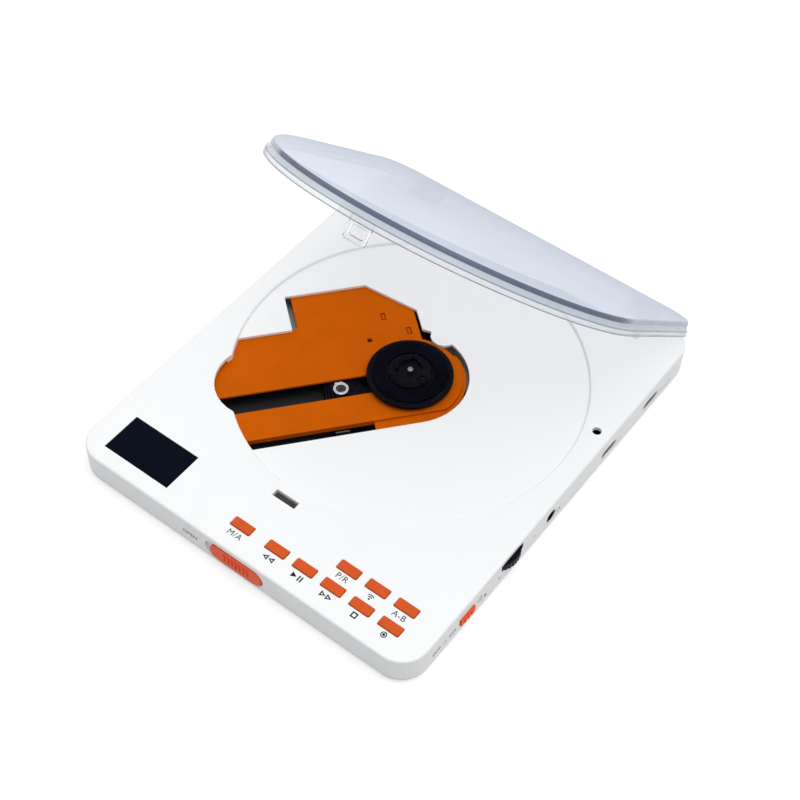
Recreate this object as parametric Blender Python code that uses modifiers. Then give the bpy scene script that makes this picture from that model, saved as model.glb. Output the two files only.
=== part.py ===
"""A portable disc player: a flat case with a shallow disc well, and a clear lid hinged at its back.

Metres, +Z up, +Y from the front to the hinge, +X to the right.
The origin is the centre of the bottom case's flat underside. The lid stands open at rest.
"""
import math

import bmesh
import bpy
from mathutils import Matrix, Vector

# Clearances
GAP = 0.0003
RUNNING_GAP = 0.00015
SIDE_GAP = 0.0002
OVERRUN = 0.002
SLIVER = 0.0001
WELD = 0.000001

# Case, drawn round the disc well
WELL_RADIUS = 0.0625
SIDE_BORDER = 0.0075
FRONT_BORDER = 0.0312
BACK_BORDER = 0.0138
BODY_HEIGHT = 0.0122
FRONT_CORNER_RADIUS = 0.010
BACK_CORNER_RADIUS = 0.011
CORNER_STEPS = 8
CASE_WALL = 0.0016
DECK_THICKNESS = 0.0015
TOP_FILLET = 0.0008
BASE_THICKNESS = 0.0015
SEAM = 0.00025
LIP_HEIGHT = 0.003
LIP_WALL = 0.0012
FILLET_STEPS = 3
SIDE_X = WELL_RADIUS + SIDE_BORDER
BACK_Y = WELL_RADIUS + (FRONT_BORDER + BACK_BORDER) / 2
FRONT_Y = -BACK_Y
INNER_SIDE_X = SIDE_X - CASE_WALL
INNER_FRONT_Y = FRONT_Y + CASE_WALL
DECK_UNDERSIDE = BODY_HEIGHT - DECK_THICKNESS
SEAM_TOP = BASE_THICKNESS + SEAM

# Disc well
WELL_Y = FRONT_Y + FRONT_BORDER + WELL_RADIUS
WELL_DEPTH = 0.0015
WELL_FLOOR = 0.0011
WELL_WALL = 0.0015
WELL_CHAMFER = 0.0003
WELL_STEPS = 96
FLOOR_TOP = BODY_HEIGHT - WELL_DEPTH
FLOOR_BOTTOM = FLOOR_TOP - WELL_FLOOR

# Opening in the well floor, in the pickup's frame: +X outwards along its travel
PICKUP_HEADING = math.radians(229.7)
OPENING_NEAR = 0.0207
OPENING_SHELF_X = 0.0364
OPENING_SHELF_Y = 0.0286
OPENING_FAR_BORDER = 0.0179
OPENING_FAR = WELL_RADIUS - OPENING_FAR_BORDER
OPENING_CHAMFER_X = 0.0067
OPENING_BACK = 0.0090
OPENING_CHAMFER_Y = 0.0292
OPENING_BACK_END = 0.0199
LOBE_X = 0.0158
LOBE_Y = 0.0154
LOBE_RADIUS = 0.0048
BUMP_FROM_WALL = 0.0110
BUMP_X = WELL_RADIUS - BUMP_FROM_WALL
BUMP_Y = 0.0068
BUMP_RADIUS = 0.0157
OPENING_STEPS = 10

# Hinge and lid, drawn closed with the hinge axis at the lid's own origin
HINGE_FROM_BACK = 0.0033
HINGE_DROP = 0.0027
HINGE_Y = BACK_Y - HINGE_FROM_BACK
HINGE_HEIGHT = BODY_HEIGHT - HINGE_DROP
OPEN_ANGLE = math.radians(42.9)
LID_BORDER = 0.0061
LID_HALF_WIDTH = WELL_RADIUS + LID_BORDER
LID_ARC_OFFSET = 0.0005
LID_REACH = HINGE_Y - WELL_Y - LID_ARC_OFFSET
LID_FRONT = LID_REACH + LID_HALF_WIDTH
LID_BACK_CORNER = 0.014
LID_TOP = 0.0083
LID_BOTTOM = 0.0030
LID_PANEL = 0.0016
LID_CEILING = LID_TOP - LID_PANEL
LID_SKIRT_WALL = 0.0014
LID_SKIRT_DRAFT = 0.0002
LID_INNER_STEP = 0.0043
LID_STEP_BOTTOM = 0.0049
LID_STEP_TOP = 0.0053
LID_STEP_INSET = 0.0008
LID_DRAFT_INSET = 0.0013
LID_WALL = 0.0015
LID_EDGE = 0.0007
LID_COVE = 0.0006
LID_STEPS = 40
EAR_RADIUS = 0.0026
EAR_LENGTH = 0.012
EAR_FROM_SIDE = 0.016
EAR_END = SIDE_X - EAR_FROM_SIDE
EAR_START = EAR_END - EAR_LENGTH
EAR_WEB_BACK = 0.0020
EAR_WEB_FRONT = 0.0006
PIN_RADIUS = 0.0008
PIN_OVERHANG = 0.004
PIN_START = EAR_START - PIN_OVERHANG
PIN_END = EAR_END + PIN_OVERHANG
KNUCKLE_FROM_SIDE = 0.0080
KNUCKLE_END = SIDE_X - KNUCKLE_FROM_SIDE
REBATE_FRONT = 0.0008
REBATE_FLOOR = 0.0004
RAIL_FRONT = 0.0047
RAIL_BOTTOM = 0.0041
TAB_WIDTH = 0.0082
TAB_THICKNESS = 0.0014
TAB_TIP = 0.0029
TAB_ROOT_TOP = 0.0052
TAB_ROOT_DEPTH = 0.0022
TAB_INSET = 0.0005
TAB_ROUND = 0.0012
TAB_REACH = LID_FRONT - TAB_INSET
TAB_FACE_Y = HINGE_Y - TAB_REACH
WINDOW_WIDTH = 0.0048
WINDOW_BOTTOM = 0.0010
WINDOW_TOP = 0.0020
SENSOR_FROM_SIDE = 0.0052
SENSOR_FROM_BACK = 0.0575
SENSOR_X = SIDE_X - SENSOR_FROM_SIDE
SENSOR_Y = BACK_Y - SENSOR_FROM_BACK
SENSOR_PIN_RADIUS = 0.0011
SENSOR_PIN_TIP = 0.0006
SENSOR_HOLE_RADIUS = 0.0016
LATCH_SLOT_WIDTH = 0.0093
LATCH_FRONT_MARGIN = 0.0010
LATCH_BACK_MARGIN = 0.0004

# Deck furniture
DISPLAY_WIDTH = 0.0274
DISPLAY_DEPTH = 0.0152
DISPLAY_FROM_SIDE = 0.02285
DISPLAY_FROM_FRONT = 0.0137
DISPLAY_X = DISPLAY_FROM_SIDE - SIDE_X
DISPLAY_Y = FRONT_Y + DISPLAY_FROM_FRONT
DISPLAY_RECESS = 0.0010
DISPLAY_GLASS = 0.0008
DISPLAY_LEDGE = 0.0020
DISPLAY_MODULE_HEIGHT = 0.0016
KEY_WIDTH = 0.0079
KEY_DEPTH = 0.0035
KEY_CORNER = 0.0004
KEY_PROUD = 0.0005
KEY_EDGE = 0.0002
KEY_FLANGE = 0.0006
KEY_FLANGE_HEIGHT = 0.0005
KEY_TRAVEL = 0.0006
KEY_FROM_SIDE = 0.0142
KEY_FROM_FRONT = 0.0099
KEY_ROW_SPACING = 0.0082
MODE_KEY_LEFT = 0.0040
KEY_ROW_SHARE = 5.26408
KEY_LAST_X = SIDE_X - KEY_FROM_SIDE
KEY_FRONT_Y = FRONT_Y + KEY_FROM_FRONT
MODE_KEY_X = -MODE_KEY_LEFT
KEY_PITCH = (KEY_LAST_X - MODE_KEY_X) / KEY_ROW_SHARE
PAD_SHEET = 0.0005
PAD_DOME_HEIGHT = 0.0007
PAD_DOME_RADIUS = 0.0016
KEY_BOARD = 0.0010
KEY_FLANGE_TOP = DECK_UNDERSIDE - GAP
PAD_DOME_TOP = KEY_FLANGE_TOP - KEY_FLANGE_HEIGHT - KEY_TRAVEL - GAP
PAD_BOTTOM = PAD_DOME_TOP - PAD_DOME_HEIGHT - PAD_SHEET
KEY_BOARD_TOP = PAD_BOTTOM - GAP
KEY_BOARD_LEFT_MARGIN = 0.0080
KEY_BOARD_RIGHT_MARGIN = 0.0038
KEY_BOARD_FRONT_MARGIN = 0.0054
KEY_BOARD_WAIST = 0.0039
KEY_BOARD_STEP_MARGIN = 0.0071
KEY_BOARD_BACK_MARGIN = 0.0044
KEY_BOARD_LEFT = MODE_KEY_X - KEY_BOARD_LEFT_MARGIN
KEY_BOARD_RIGHT = KEY_LAST_X + KEY_BOARD_RIGHT_MARGIN
KEY_BOARD_FRONT = KEY_FRONT_Y - KEY_BOARD_FRONT_MARGIN
KEY_BOARD_STEP_Y = KEY_FRONT_Y + KEY_BOARD_WAIST
KEY_BOARD_STEP_X = KEY_LAST_X - 2 * KEY_PITCH - KEY_BOARD_STEP_MARGIN
KEY_BOARD_BACK = KEY_FRONT_Y + KEY_ROW_SPACING + KEY_BOARD_BACK_MARGIN

# Front slider and catch
SLIDER_X = 0.0011
SLIDER_RISE = 0.0001
SLIDER_Z = BODY_HEIGHT / 2 + SLIDER_RISE
SLIDER_WIDTH = 0.0216
SLIDER_HEIGHT = 0.0071
SLIDER_THICKNESS = 0.0011
SLIDER_PROUD = 0.0003
SLIDER_TRAVEL = 0.0020
SLIDER_RIBS = 7
SLIDER_RIB_PITCH = 0.0016
SLIDER_RIB_WIDTH = 0.0006
SLIDER_RIB_HEIGHT = 0.0035
SLIDER_RIB_PROUD = 0.0003
RECESS_MARGIN = 0.0004
TONGUE_WIDTH = 0.010
TONGUE_DROP = 0.0030
TONGUE_BOTTOM = SLIDER_Z - TONGUE_DROP
TONGUE_THICKNESS = 0.0012
TONGUE_REACH = 0.0168
TONGUE_END_Y = FRONT_Y + TONGUE_REACH
CATCH_RATIO = 0.8
CATCH_PIN_REACH = 0.0145
CATCH_PIN_Y = FRONT_Y + CATCH_PIN_REACH
CATCH_PIN_RADIUS = 0.0009
CATCH_WIDTH = 0.007
CATCH_PLATE = 0.0010
CATCH_FRONT = 0.0020
CATCH_ARM_DEPTH = 0.0018
CATCH_BOTTOM = TONGUE_BOTTOM + TONGUE_THICKNESS + GAP
NOSE_WIDTH = 0.0036
NOSE_HALF_HEIGHT = 0.0007
NOSE_BOTTOM = HINGE_HEIGHT - NOSE_HALF_HEIGHT
NOSE_TOP = HINGE_HEIGHT + NOSE_HALF_HEIGHT

# Boards and cell
BOARD_RISE = 0.0009
BOARD_THICKNESS = 0.0010
BOARD_BOTTOM = BASE_THICKNESS + BOARD_RISE
BOARD_TOP = BOARD_BOTTOM + BOARD_THICKNESS
BOARD_WIDTH = 0.022
BOARD_FROM_SIDE = 0.004
BOARD_FROM_FRONT = 0.025
BOARD_FROM_BACK = 0.0162
BOARD_WAIST = 0.012
BOARD_WAIST_FROM_BACK = 0.069
BOARD_RIGHT = SIDE_X - BOARD_FROM_SIDE
BOARD_LEFT = BOARD_RIGHT - BOARD_WIDTH
BOARD_FRONT = FRONT_Y + BOARD_FROM_FRONT
BOARD_BACK = BACK_Y - BOARD_FROM_BACK
BOARD_WAIST_X = BOARD_RIGHT - BOARD_WAIST
BOARD_WAIST_Y = BACK_Y - BOARD_WAIST_FROM_BACK
BOARD_POST_RADIUS = 0.0015
CHIP_SIZE = 0.009
CHIP_HEIGHT = 0.0012
CHIP_INSET = 0.005
CHIP_FROM_WAIST = 0.010
CHIP_X = BOARD_LEFT + CHIP_INSET
CHIP_Y = BOARD_WAIST_Y - CHIP_FROM_WAIST
LID_SWITCH_WIDTH = 0.0050
LID_SWITCH_POST = 0.0040
LID_PLUNGER_TRAVEL = 0.0005
CELL_LEFT = 0.0195
CELL_MARGIN = 0.0015
CELL_FRONT_MARGIN = 0.0040
CELL_FROM_BACK = 0.011
CELL_RIGHT = BOARD_WAIST_X - CELL_MARGIN
CELL_FRONT = BOARD_WAIST_Y + CELL_FRONT_MARGIN
CELL_BACK = BACK_Y - CELL_FROM_BACK
CELL_BOTTOM = BASE_THICKNESS + GAP
CELL_HEIGHT = 0.0048
CELL_EDGE = 0.0012

# Right-hand controls and sockets
WHEEL_FROM_FRONT = 0.0554
WHEEL_Y = FRONT_Y + WHEEL_FROM_FRONT
WHEEL_RADIUS = 0.0085
WHEEL_PROUD = 0.0018
WHEEL_X = SIDE_X + WHEEL_PROUD - WHEEL_RADIUS
WHEEL_DROP = 0.0019
WHEEL_TOP = BODY_HEIGHT - WHEEL_DROP
WHEEL_THICKNESS = 0.0030
WHEEL_FLUTES = 36
WHEEL_FLUTE_DEPTH = 0.0002
WHEEL_BORE = 0.0018
WHEEL_SLOT_MARGIN = 0.0005
POT_RADIUS = 0.0032
KNOB_FROM_FRONT = 0.0309
KNOB_DROP = 0.0003
KNOB_Y = FRONT_Y + KNOB_FROM_FRONT
KNOB_Z = BODY_HEIGHT / 2 - KNOB_DROP
KNOB_LENGTH = 0.0074
KNOB_HEIGHT = 0.0030
KNOB_PROUD = 0.0006
KNOB_TRAVEL = 0.0040
KNOB_RECESS = 0.0009
KNOB_STEM_LENGTH = 0.0026
KNOB_STEM_HEIGHT = 0.0014
KNOB_RIBS = 3
KNOB_RIB_PITCH = 0.0018
KNOB_RIB_WIDTH = 0.0006
KNOB_RIB_PROUD = 0.0003
SWITCH_LENGTH = 0.0135
SWITCH_WIDTH = 0.0052
SWITCH_HEIGHT = 0.0046
JACK_FROM_FRONT = 0.0781
JACK_Y = FRONT_Y + JACK_FROM_FRONT
JACK_HOLE_RADIUS = 0.0027
JACK_NOSE_RADIUS = 0.0024
JACK_BORE_RADIUS = 0.0018
JACK_BORE_DEPTH = 0.0120
JACK_LENGTH = 0.0135
JACK_WIDTH = 0.0066
JACK_HEIGHT = 0.0044
JACK_Z = BOARD_TOP + GAP + JACK_HEIGHT / 2
SOCKET_WIDTH = 0.0089
SOCKET_HEIGHT = 0.0032
SOCKET_WALL = 0.0003
SOCKET_LENGTH = 0.0050
SOCKET_POCKET = 0.0042
SOCKET_TONGUE_WIDTH = 0.0066
SOCKET_TONGUE_HEIGHT = 0.0008
SOCKET_TONGUE_LENGTH = 0.0034
SOCKET_MARGIN = 0.0003
SOCKET_Z = BOARD_TOP + SIDE_GAP + SOCKET_HEIGHT / 2
CHARGE_FROM_BACK = 0.0566
DATA_FROM_BACK = 0.0298
CARD_FROM_BACK = 0.0202
CHARGE_SOCKET_Y = BACK_Y - CHARGE_FROM_BACK
DATA_SOCKET_Y = BACK_Y - DATA_FROM_BACK
CARD_SLOT_Y = BACK_Y - CARD_FROM_BACK
CARD_SLOT_WIDTH = 0.0070
CARD_SLOT_HEIGHT = 0.0012
CARD_SLOT_RISE = 0.0008
CARD_SLOT_Z = BOARD_TOP + CARD_SLOT_RISE
CARD_READER_DEPTH = 0.0060
CARD_READER_HEIGHT = 0.0024
CARD_READER_MARGIN = 0.0010

# Fasteners and feet
BOSS_FROM_SIDE = 0.0074
BOSS_FROM_FRONT = 0.0074
BOSS_FROM_BACK = 0.0124
BOSS_X = SIDE_X - BOSS_FROM_SIDE
BOSS_FRONT_Y = FRONT_Y + BOSS_FROM_FRONT
BOSS_BACK_Y = BACK_Y - BOSS_FROM_BACK
BOSS_RADIUS = 0.0025
PAD_RADIUS = 0.0033
PAD_HEIGHT = 0.0016
PAD_TOP = BASE_THICKNESS + PAD_HEIGHT
BOSS_BOTTOM = PAD_TOP + GAP
PILOT_RADIUS = 0.0011
PILOT_FROM_TOP = 0.0032
PILOT_TOP = BODY_HEIGHT - PILOT_FROM_TOP
SCREW_RADIUS = 0.0009
SCREW_HEAD_RADIUS = 0.0019
SCREW_HEAD = 0.0009
SCREW_HEAD_BOTTOM = 0.0002
SCREW_END_GAP = 0.0005
SCREW_TOP = PILOT_TOP - SCREW_END_GAP
SCREW_DRIVE_RADIUS = 0.0008
SCREW_DRIVE_DEPTH = 0.0005
COUNTERBORE_RADIUS = 0.0023
COUNTERBORE = 0.0014
CLEARANCE_HOLE = 0.0013
FOOT_FROM_SIDE = 0.018
FOOT_FROM_FRONT = 0.015
FOOT_FROM_BACK = 0.019
FOOT_X = SIDE_X - FOOT_FROM_SIDE
FOOT_FRONT_Y = FRONT_Y + FOOT_FROM_FRONT
FOOT_BACK_Y = BACK_Y - FOOT_FROM_BACK
FOOT_RADIUS = 0.005
FOOT_PROUD = 0.0010
FOOT_RECESS = 0.0006
FOOT_EDGE = 0.0004

# Cover over the drive, in the pickup's frame
COVER_TOP = FLOOR_BOTTOM - SIDE_GAP
COVER_PLATE = 0.0008
COVER_UNDERSIDE = COVER_TOP - COVER_PLATE
COVER_HOLE = 0.0134
COVER_RING = 0.0183
COVER_EDGE_Y = 0.0158
COVER_STEP_DROP = 0.0009
COVER_STEP_RING = 0.0197
COVER_STEP_Y = 0.0194
COVER_STEP_X = 0.0160
COVER_SKIRT = 0.0022
COVER_SKIRT_WALL = 0.0008
COVER_BACK = 0.0081
COVER_HIDDEN_RIM = 0.0016
COVER_FAR = OPENING_FAR + COVER_HIDDEN_RIM
COVER_CHAMFER_X = 0.0060
COVER_CHAMFER_Y = 0.0318
COVER_BACK_END = 0.0200
COVER_SHELF_X = 0.0342
COVER_SHELF_Y = 0.0302
COVER_END_FROM_WALL = 0.0025
COVER_TIP_PAST_WALL = 0.0065
COVER_SHOULDER_PAST_WALL = 0.0020
COVER_END = WELL_RADIUS - COVER_END_FROM_WALL
COVER_TIP = WELL_RADIUS + COVER_TIP_PAST_WALL
COVER_SHOULDER_X = WELL_RADIUS + COVER_SHOULDER_PAST_WALL
COVER_SHOULDER_Y = 0.0210
COVER_TIP_FAR = 0.0140
COVER_TIP_NEAR = 0.0080
SLOT_NEAR = 0.0037
SLOT_FAR = 0.0043
SLOT_PAST_WALL = 0.0050
SLOT_END = WELL_RADIUS + SLOT_PAST_WALL
TOOL_HOLE_SIZE = 0.0012
TOOL_HOLE_X = 0.0102
TOOL_HOLE_Y = 0.0196
MARK_DEPTH = 0.0003
MARK_LENGTH = 0.0030
MARK_WIDTH = 0.0014
FAR_MARK_X = 0.0032
FAR_MARK_Y = 0.0296
NEAR_MARK_X = 0.0045
NEAR_MARK_Y = 0.0213

# Chassis and dampers, in the pickup's frame
CHASSIS_RISE = 0.0011
CHASSIS_THICKNESS = 0.0008
CHASSIS_BOTTOM = BASE_THICKNESS + CHASSIS_RISE
CHASSIS_TOP = CHASSIS_BOTTOM + CHASSIS_THICKNESS
CHASSIS_PAST_WALL = 0.0030
CHASSIS_END = WELL_RADIUS + CHASSIS_PAST_WALL
CHASSIS_NEAR = 0.0175
CHASSIS_RING = 0.0198
CHASSIS_TAB_LENGTH = 0.0110
CHASSIS_TAB_X = CHASSIS_END - CHASSIS_TAB_LENGTH
CHASSIS_TAB_Y = 0.0260
CHASSIS_EDGE = 0.0012
CHASSIS_FAR = COVER_FAR - CHASSIS_EDGE
CHASSIS_SHELF_X = 0.0330
CHASSIS_SHELF_Y = 0.0310
CHASSIS_FAR_X = 0.0060
CHASSIS_WAIST_X = -0.0125
CHASSIS_WAIST_Y = 0.0290
PILLAR_RADIUS = 0.0016
DAMPER_RADIUS = 0.0032
DAMPER_NECK = 0.0022
DAMPER_BORE = 0.0015
DAMPER_CAP = 0.0008
DAMPER_POST = 0.0012
DAMPER_BOTTOM = BASE_THICKNESS + GAP
DAMPER_TOP = CHASSIS_TOP + DAMPER_CAP
DAMPER_POST_TOP = DAMPER_TOP + DAMPER_CAP
DAMPER_FROM_END = 0.0055
DAMPER_X = CHASSIS_END - DAMPER_FROM_END
DAMPER_FAR_Y = 0.0265
DAMPER_NEAR_Y = 0.0215
SHELF_DAMPER_X = 0.0095
SHELF_DAMPER_EDGE = 0.0045
SHELF_DAMPER_Y = CHASSIS_FAR - SHELF_DAMPER_EDGE
BACK_DAMPER_X = 0.0130
BACK_DAMPER_Y = 0.0095

# Turntable and its motor
TURNTABLE_RADIUS = 0.0152
TURNTABLE_RISE = 0.0001
TURNTABLE_PLATE = 0.0013
TURNTABLE_HEIGHT = 0.0030
TURNTABLE_BOSS_RADIUS = 0.0086
TURNTABLE_TOP = BODY_HEIGHT + TURNTABLE_RISE
TURNTABLE_BOTTOM = TURNTABLE_TOP - TURNTABLE_HEIGHT
SEAT_RISE = 0.0005
SEAT_TOP = TURNTABLE_TOP + SEAT_RISE
SEAT_INNER = 0.0086
SEAT_OUTER = 0.0132
SEAT_GROOVE = 0.0004
HUB_RADIUS = 0.0073
HUB_RISE = 0.0019
HUB_CHAMFER = 0.0010
HUB_WELL_RADIUS = 0.0044
HUB_WELL_DEPTH = 0.0012
HUB_BORE = 0.00115
HUB_TOP = TURNTABLE_TOP + HUB_RISE
HUB_WELL_FLOOR = HUB_TOP - HUB_WELL_DEPTH
CLAW_COUNT = 3
CLAW_WIDTH = 0.0022
CLAW_INNER = 0.0052
CLAW_OUTER = 0.0076
CLAW_DROP = 0.0003
CLAW_HEIGHT = 0.0010
CLAW_TOP = HUB_TOP - CLAW_DROP
CLAW_BOTTOM = CLAW_TOP - CLAW_HEIGHT
CLAW_NOTCH_INNER = 0.0040
MOTOR_RADIUS = 0.0090
MOTOR_NECK_RADIUS = 0.0030
MOTOR_NECK = 0.0006
MOTOR_BOTTOM = CHASSIS_TOP + GAP
MOTOR_TOP = TURNTABLE_BOTTOM - GAP
MOTOR_SHOULDER = MOTOR_TOP - MOTOR_NECK
SHAFT_RADIUS = 0.0010
SHAFT_PROUD = 0.0004
SHAFT_TIP = 0.0003
SHAFT_TOP = HUB_TOP + SHAFT_PROUD
SHAFT_BOTTOM = MOTOR_BOTTOM + MOTOR_NECK

# Pickup and what carries it
ROD_Y = -0.0130
ROD_Z = (CHASSIS_TOP + COVER_UNDERSIDE) / 2
ROD_RADIUS = 0.0011
ROD_START = 0.0110
ROD_PAST_WALL = 0.0025
ROD_END = WELL_RADIUS + ROD_PAST_WALL
ROD_BLOCK = 0.0030
ROD_BUSH_RADIUS = 0.0017
LEAD_Y = 0.0124
LEAD_DROP = 0.0006
LEAD_Z = ROD_Z - LEAD_DROP
LEAD_RADIUS = 0.0008
LEAD_START = 0.0121
SLED_MOTOR_RADIUS = 0.0021
SLED_MOTOR_START = -0.0020
SLED_MOTOR_END = LEAD_START - GAP
SLED_START = 0.0166
SLED_END = 0.0300
SLED_FAR = 0.0152
SLED_NEAR = 0.0146
SLED_RISE = 0.0004
SLED_DROP = 0.0014
SLED_BOTTOM = CHASSIS_TOP + SLED_RISE
SLED_TOP = COVER_UNDERSIDE - SLED_DROP
TOWER_START = 0.0192
TOWER_END = 0.0290
TOWER_HALF_WIDTH = 0.0031
TOWER_DROP = 0.0007
TOWER_TOP = COVER_UNDERSIDE - TOWER_DROP
SLED_BORE_GAP = 0.00025
OUTRIGGER_START = 0.0240
OUTRIGGER_END = 0.0297
OUTRIGGER_REACH = 0.0179
OUTRIGGER_DROP = 0.0002
OUTRIGGER_TOP = ROD_Z - OUTRIGGER_DROP
CLIP_START = 0.0246
CLIP_END = 0.0294
CLIP_THICKNESS = 0.0004
CLIP_HEIGHT = 0.0008
CLIP_Y = COVER_EDGE_Y + CLIP_THICKNESS
LENS_X = 0.0244
LENS_RADIUS = 0.0019
LENS_DOME = 0.0004
LENS_SEAT = 0.0003
LENS_LIFT = 0.0001
LENS_TRAVEL = 0.0003
HOLDER_LENGTH = 0.0072
HOLDER_WIDTH = 0.0060
HOLDER_THICKNESS = 0.0006
HOLDER_BOTTOM = TOWER_TOP + LENS_TRAVEL + GAP
HOLDER_TOP = HOLDER_BOTTOM + HOLDER_THICKNESS
LENS_BASE = HOLDER_TOP + LENS_LIFT
LENS_RING_RADIUS = 0.0026
LENS_RING_HEIGHT = 0.0004
LENS_RING_TOP = HOLDER_TOP + LENS_RING_HEIGHT

SEGMENTS = 20
SMALL_SEGMENTS = 16
ROUND_SEGMENTS = 48


def new_collection(name):
    collection = bpy.data.collections.new(name)
    bpy.context.scene.collection.children.link(collection)
    return collection


def new_material(name, colour, roughness, metallic=0.0, alpha=1.0):
    material = bpy.data.materials.new(name)
    material.use_nodes = True
    shader = material.node_tree.nodes["Principled BSDF"]
    shader.inputs["Base Color"].default_value = (*colour, 1.0)
    shader.inputs["Roughness"].default_value = roughness
    shader.inputs["Metallic"].default_value = metallic
    shader.inputs["Alpha"].default_value = alpha
    return material


def object_from(name, mesh, parent=None):
    """An object in the cutters' collection, until finish_part moves it to the parts."""
    obj = bpy.data.objects.new(name, mesh)
    CUTTERS.objects.link(obj)
    obj.parent = parent
    obj.hide_render = True
    obj.display_type = "WIRE"
    return obj


def mesh_from(name, form):
    bmesh.ops.recalc_face_normals(form, faces=form.faces)
    mesh = bpy.data.meshes.new(name)
    form.to_mesh(mesh)
    form.free()
    return mesh


def finish_part(obj, colour, roughness, metallic=0.0, alpha=1.0, round_piece=False):
    """Gives a sub-part its own material and moves it to the parts' collection."""
    obj.data.materials.clear()
    obj.data.materials.append(new_material(obj.name, colour, roughness, metallic, alpha))
    CUTTERS.objects.unlink(obj)
    PARTS.objects.link(obj)
    obj.hide_render = False
    obj.display_type = "SOLID"
    if round_piece:
        obj.data.shade_smooth()
        obj.data.set_sharp_from_angle(angle=math.radians(35))
    return obj


def set_origin(obj, point):
    """Moves the object's origin to a joint's axis and leaves its shape where it is."""
    obj.data.transform(Matrix.Translation(-Vector(point)))
    obj.location = Vector(point)
    return obj


def arc(centre_x, centre_y, radius, start, end, steps):
    """Points of an arc between two angles in degrees, both ends included."""
    points = []
    for step in range(steps + 1):
        angle = math.radians(start + (end - start) * step / steps)
        points.append((centre_x + radius * math.cos(angle), centre_y + radius * math.sin(angle)))
    return points


def rounded_outline(half_x, half_y, front_radius, back_radius, inset, steps):
    """A rounded rectangle drawn in by an inset, anticlockwise from its right side."""
    points = []
    corners = ((1, 1, back_radius), (-1, 1, back_radius), (-1, -1, front_radius), (1, -1, front_radius))
    for turn, (side_x, side_y, radius) in enumerate(corners):
        bend = max(radius - inset, SLIVER)
        centre_x = side_x * (half_x - inset - bend)
        centre_y = side_y * (half_y - inset - bend)
        points += arc(centre_x, centre_y, bend, 90 * turn, 90 * turn + 90, steps)
    return points


def body_outline(inset):
    return rounded_outline(
        SIDE_X, BACK_Y, FRONT_CORNER_RADIUS, BACK_CORNER_RADIUS, inset, CORNER_STEPS
    )


def lid_outline(inset):
    """The lid's plan: a half circle at the front, straight sides and two small corners at the back."""
    half = LID_HALF_WIDTH - inset
    corner = LID_BACK_CORNER - inset
    back = HINGE_FROM_BACK - inset - corner
    right = arc(half - corner, back, corner, 0, 90, CORNER_STEPS)
    left = arc(corner - half, back, corner, 90, 180, CORNER_STEPS)
    return right + left + arc(0, -LID_REACH, half, 180, 360, LID_STEPS)


def swept(name, outline, profile, parent=None):
    """A solid whose section, as pairs of inset and height, follows an outline, capped at both ends."""
    form = bmesh.new()
    rings = []
    for inset, height in profile:
        rings.append([form.verts.new((x, y, height)) for x, y in outline(inset)])
    for lower, upper in zip(rings, rings[1:]):
        for index, vertex in enumerate(lower):
            following = (index + 1) % len(lower)
            form.faces.new((vertex, lower[following], upper[following], upper[index]))
    form.faces.new(rings[0])
    form.faces.new(rings[-1])
    return object_from(name, mesh_from(name, form), parent)


def extruded(name, loops, low, high, parent=None):
    """A flat outline with holes, raised from one height to another."""
    curve = bpy.data.curves.new(name, "CURVE")
    curve.dimensions = "2D"
    curve.fill_mode = "BOTH"
    curve.extrude = (high - low) / 2
    for loop in loops:
        spline = curve.splines.new("POLY")
        spline.points.add(len(loop) - 1)
        for point, (x, y) in zip(spline.points, loop):
            point.co = (x, y, 0, 1)
        spline.use_cyclic_u = True
    return mesh_of_curve(name, curve, Matrix.Translation((0, 0, (low + high) / 2)), parent)


def mesh_of_curve(name, curve, placement, parent):
    """Turns a curve into a welded mesh object and removes the curve."""
    source = object_from(name + "_curve", curve)
    bpy.context.view_layer.update()
    evaluated = source.evaluated_get(bpy.context.evaluated_depsgraph_get())
    mesh = bpy.data.meshes.new_from_object(evaluated)
    form = bmesh.new()
    form.from_mesh(mesh)
    bmesh.ops.remove_doubles(form, verts=form.verts, dist=WELD)
    bmesh.ops.transform(form, matrix=source.matrix_world @ placement, verts=form.verts)
    bpy.data.objects.remove(source)
    bpy.data.meshes.remove(mesh)
    bpy.data.curves.remove(curve)
    return object_from(name, mesh_from(name, form), parent)


def box(name, low, high, parent=None):
    form = bmesh.new()
    bmesh.ops.create_cube(form, size=1)
    size = Vector(high) - Vector(low)
    middle = (Vector(high) + Vector(low)) / 2
    bmesh.ops.scale(form, vec=size, verts=form.verts)
    bmesh.ops.translate(form, vec=middle, verts=form.verts)
    return object_from(name, mesh_from(name, form), parent)


def cylinder(name, centre, radius, low, high, axis="Z", segments=SEGMENTS, parent=None):
    """A cylinder between two places on its axis; centre gives its other two coordinates."""
    form = bmesh.new()
    bmesh.ops.create_cone(
        form, cap_ends=True, segments=segments, radius1=radius, radius2=radius, depth=high - low
    )
    middle = (low + high) / 2
    first, second = centre
    if axis == "X":
        placement = Matrix.Translation((middle, first, second)) @ Matrix.Rotation(math.pi / 2, 4, "Y")
    elif axis == "Y":
        placement = Matrix.Translation((first, middle, second)) @ Matrix.Rotation(math.pi / 2, 4, "X")
    else:
        placement = Matrix.Translation((first, second, middle))
    bmesh.ops.transform(form, matrix=placement, verts=form.verts)
    return object_from(name, mesh_from(name, form), parent)


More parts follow.
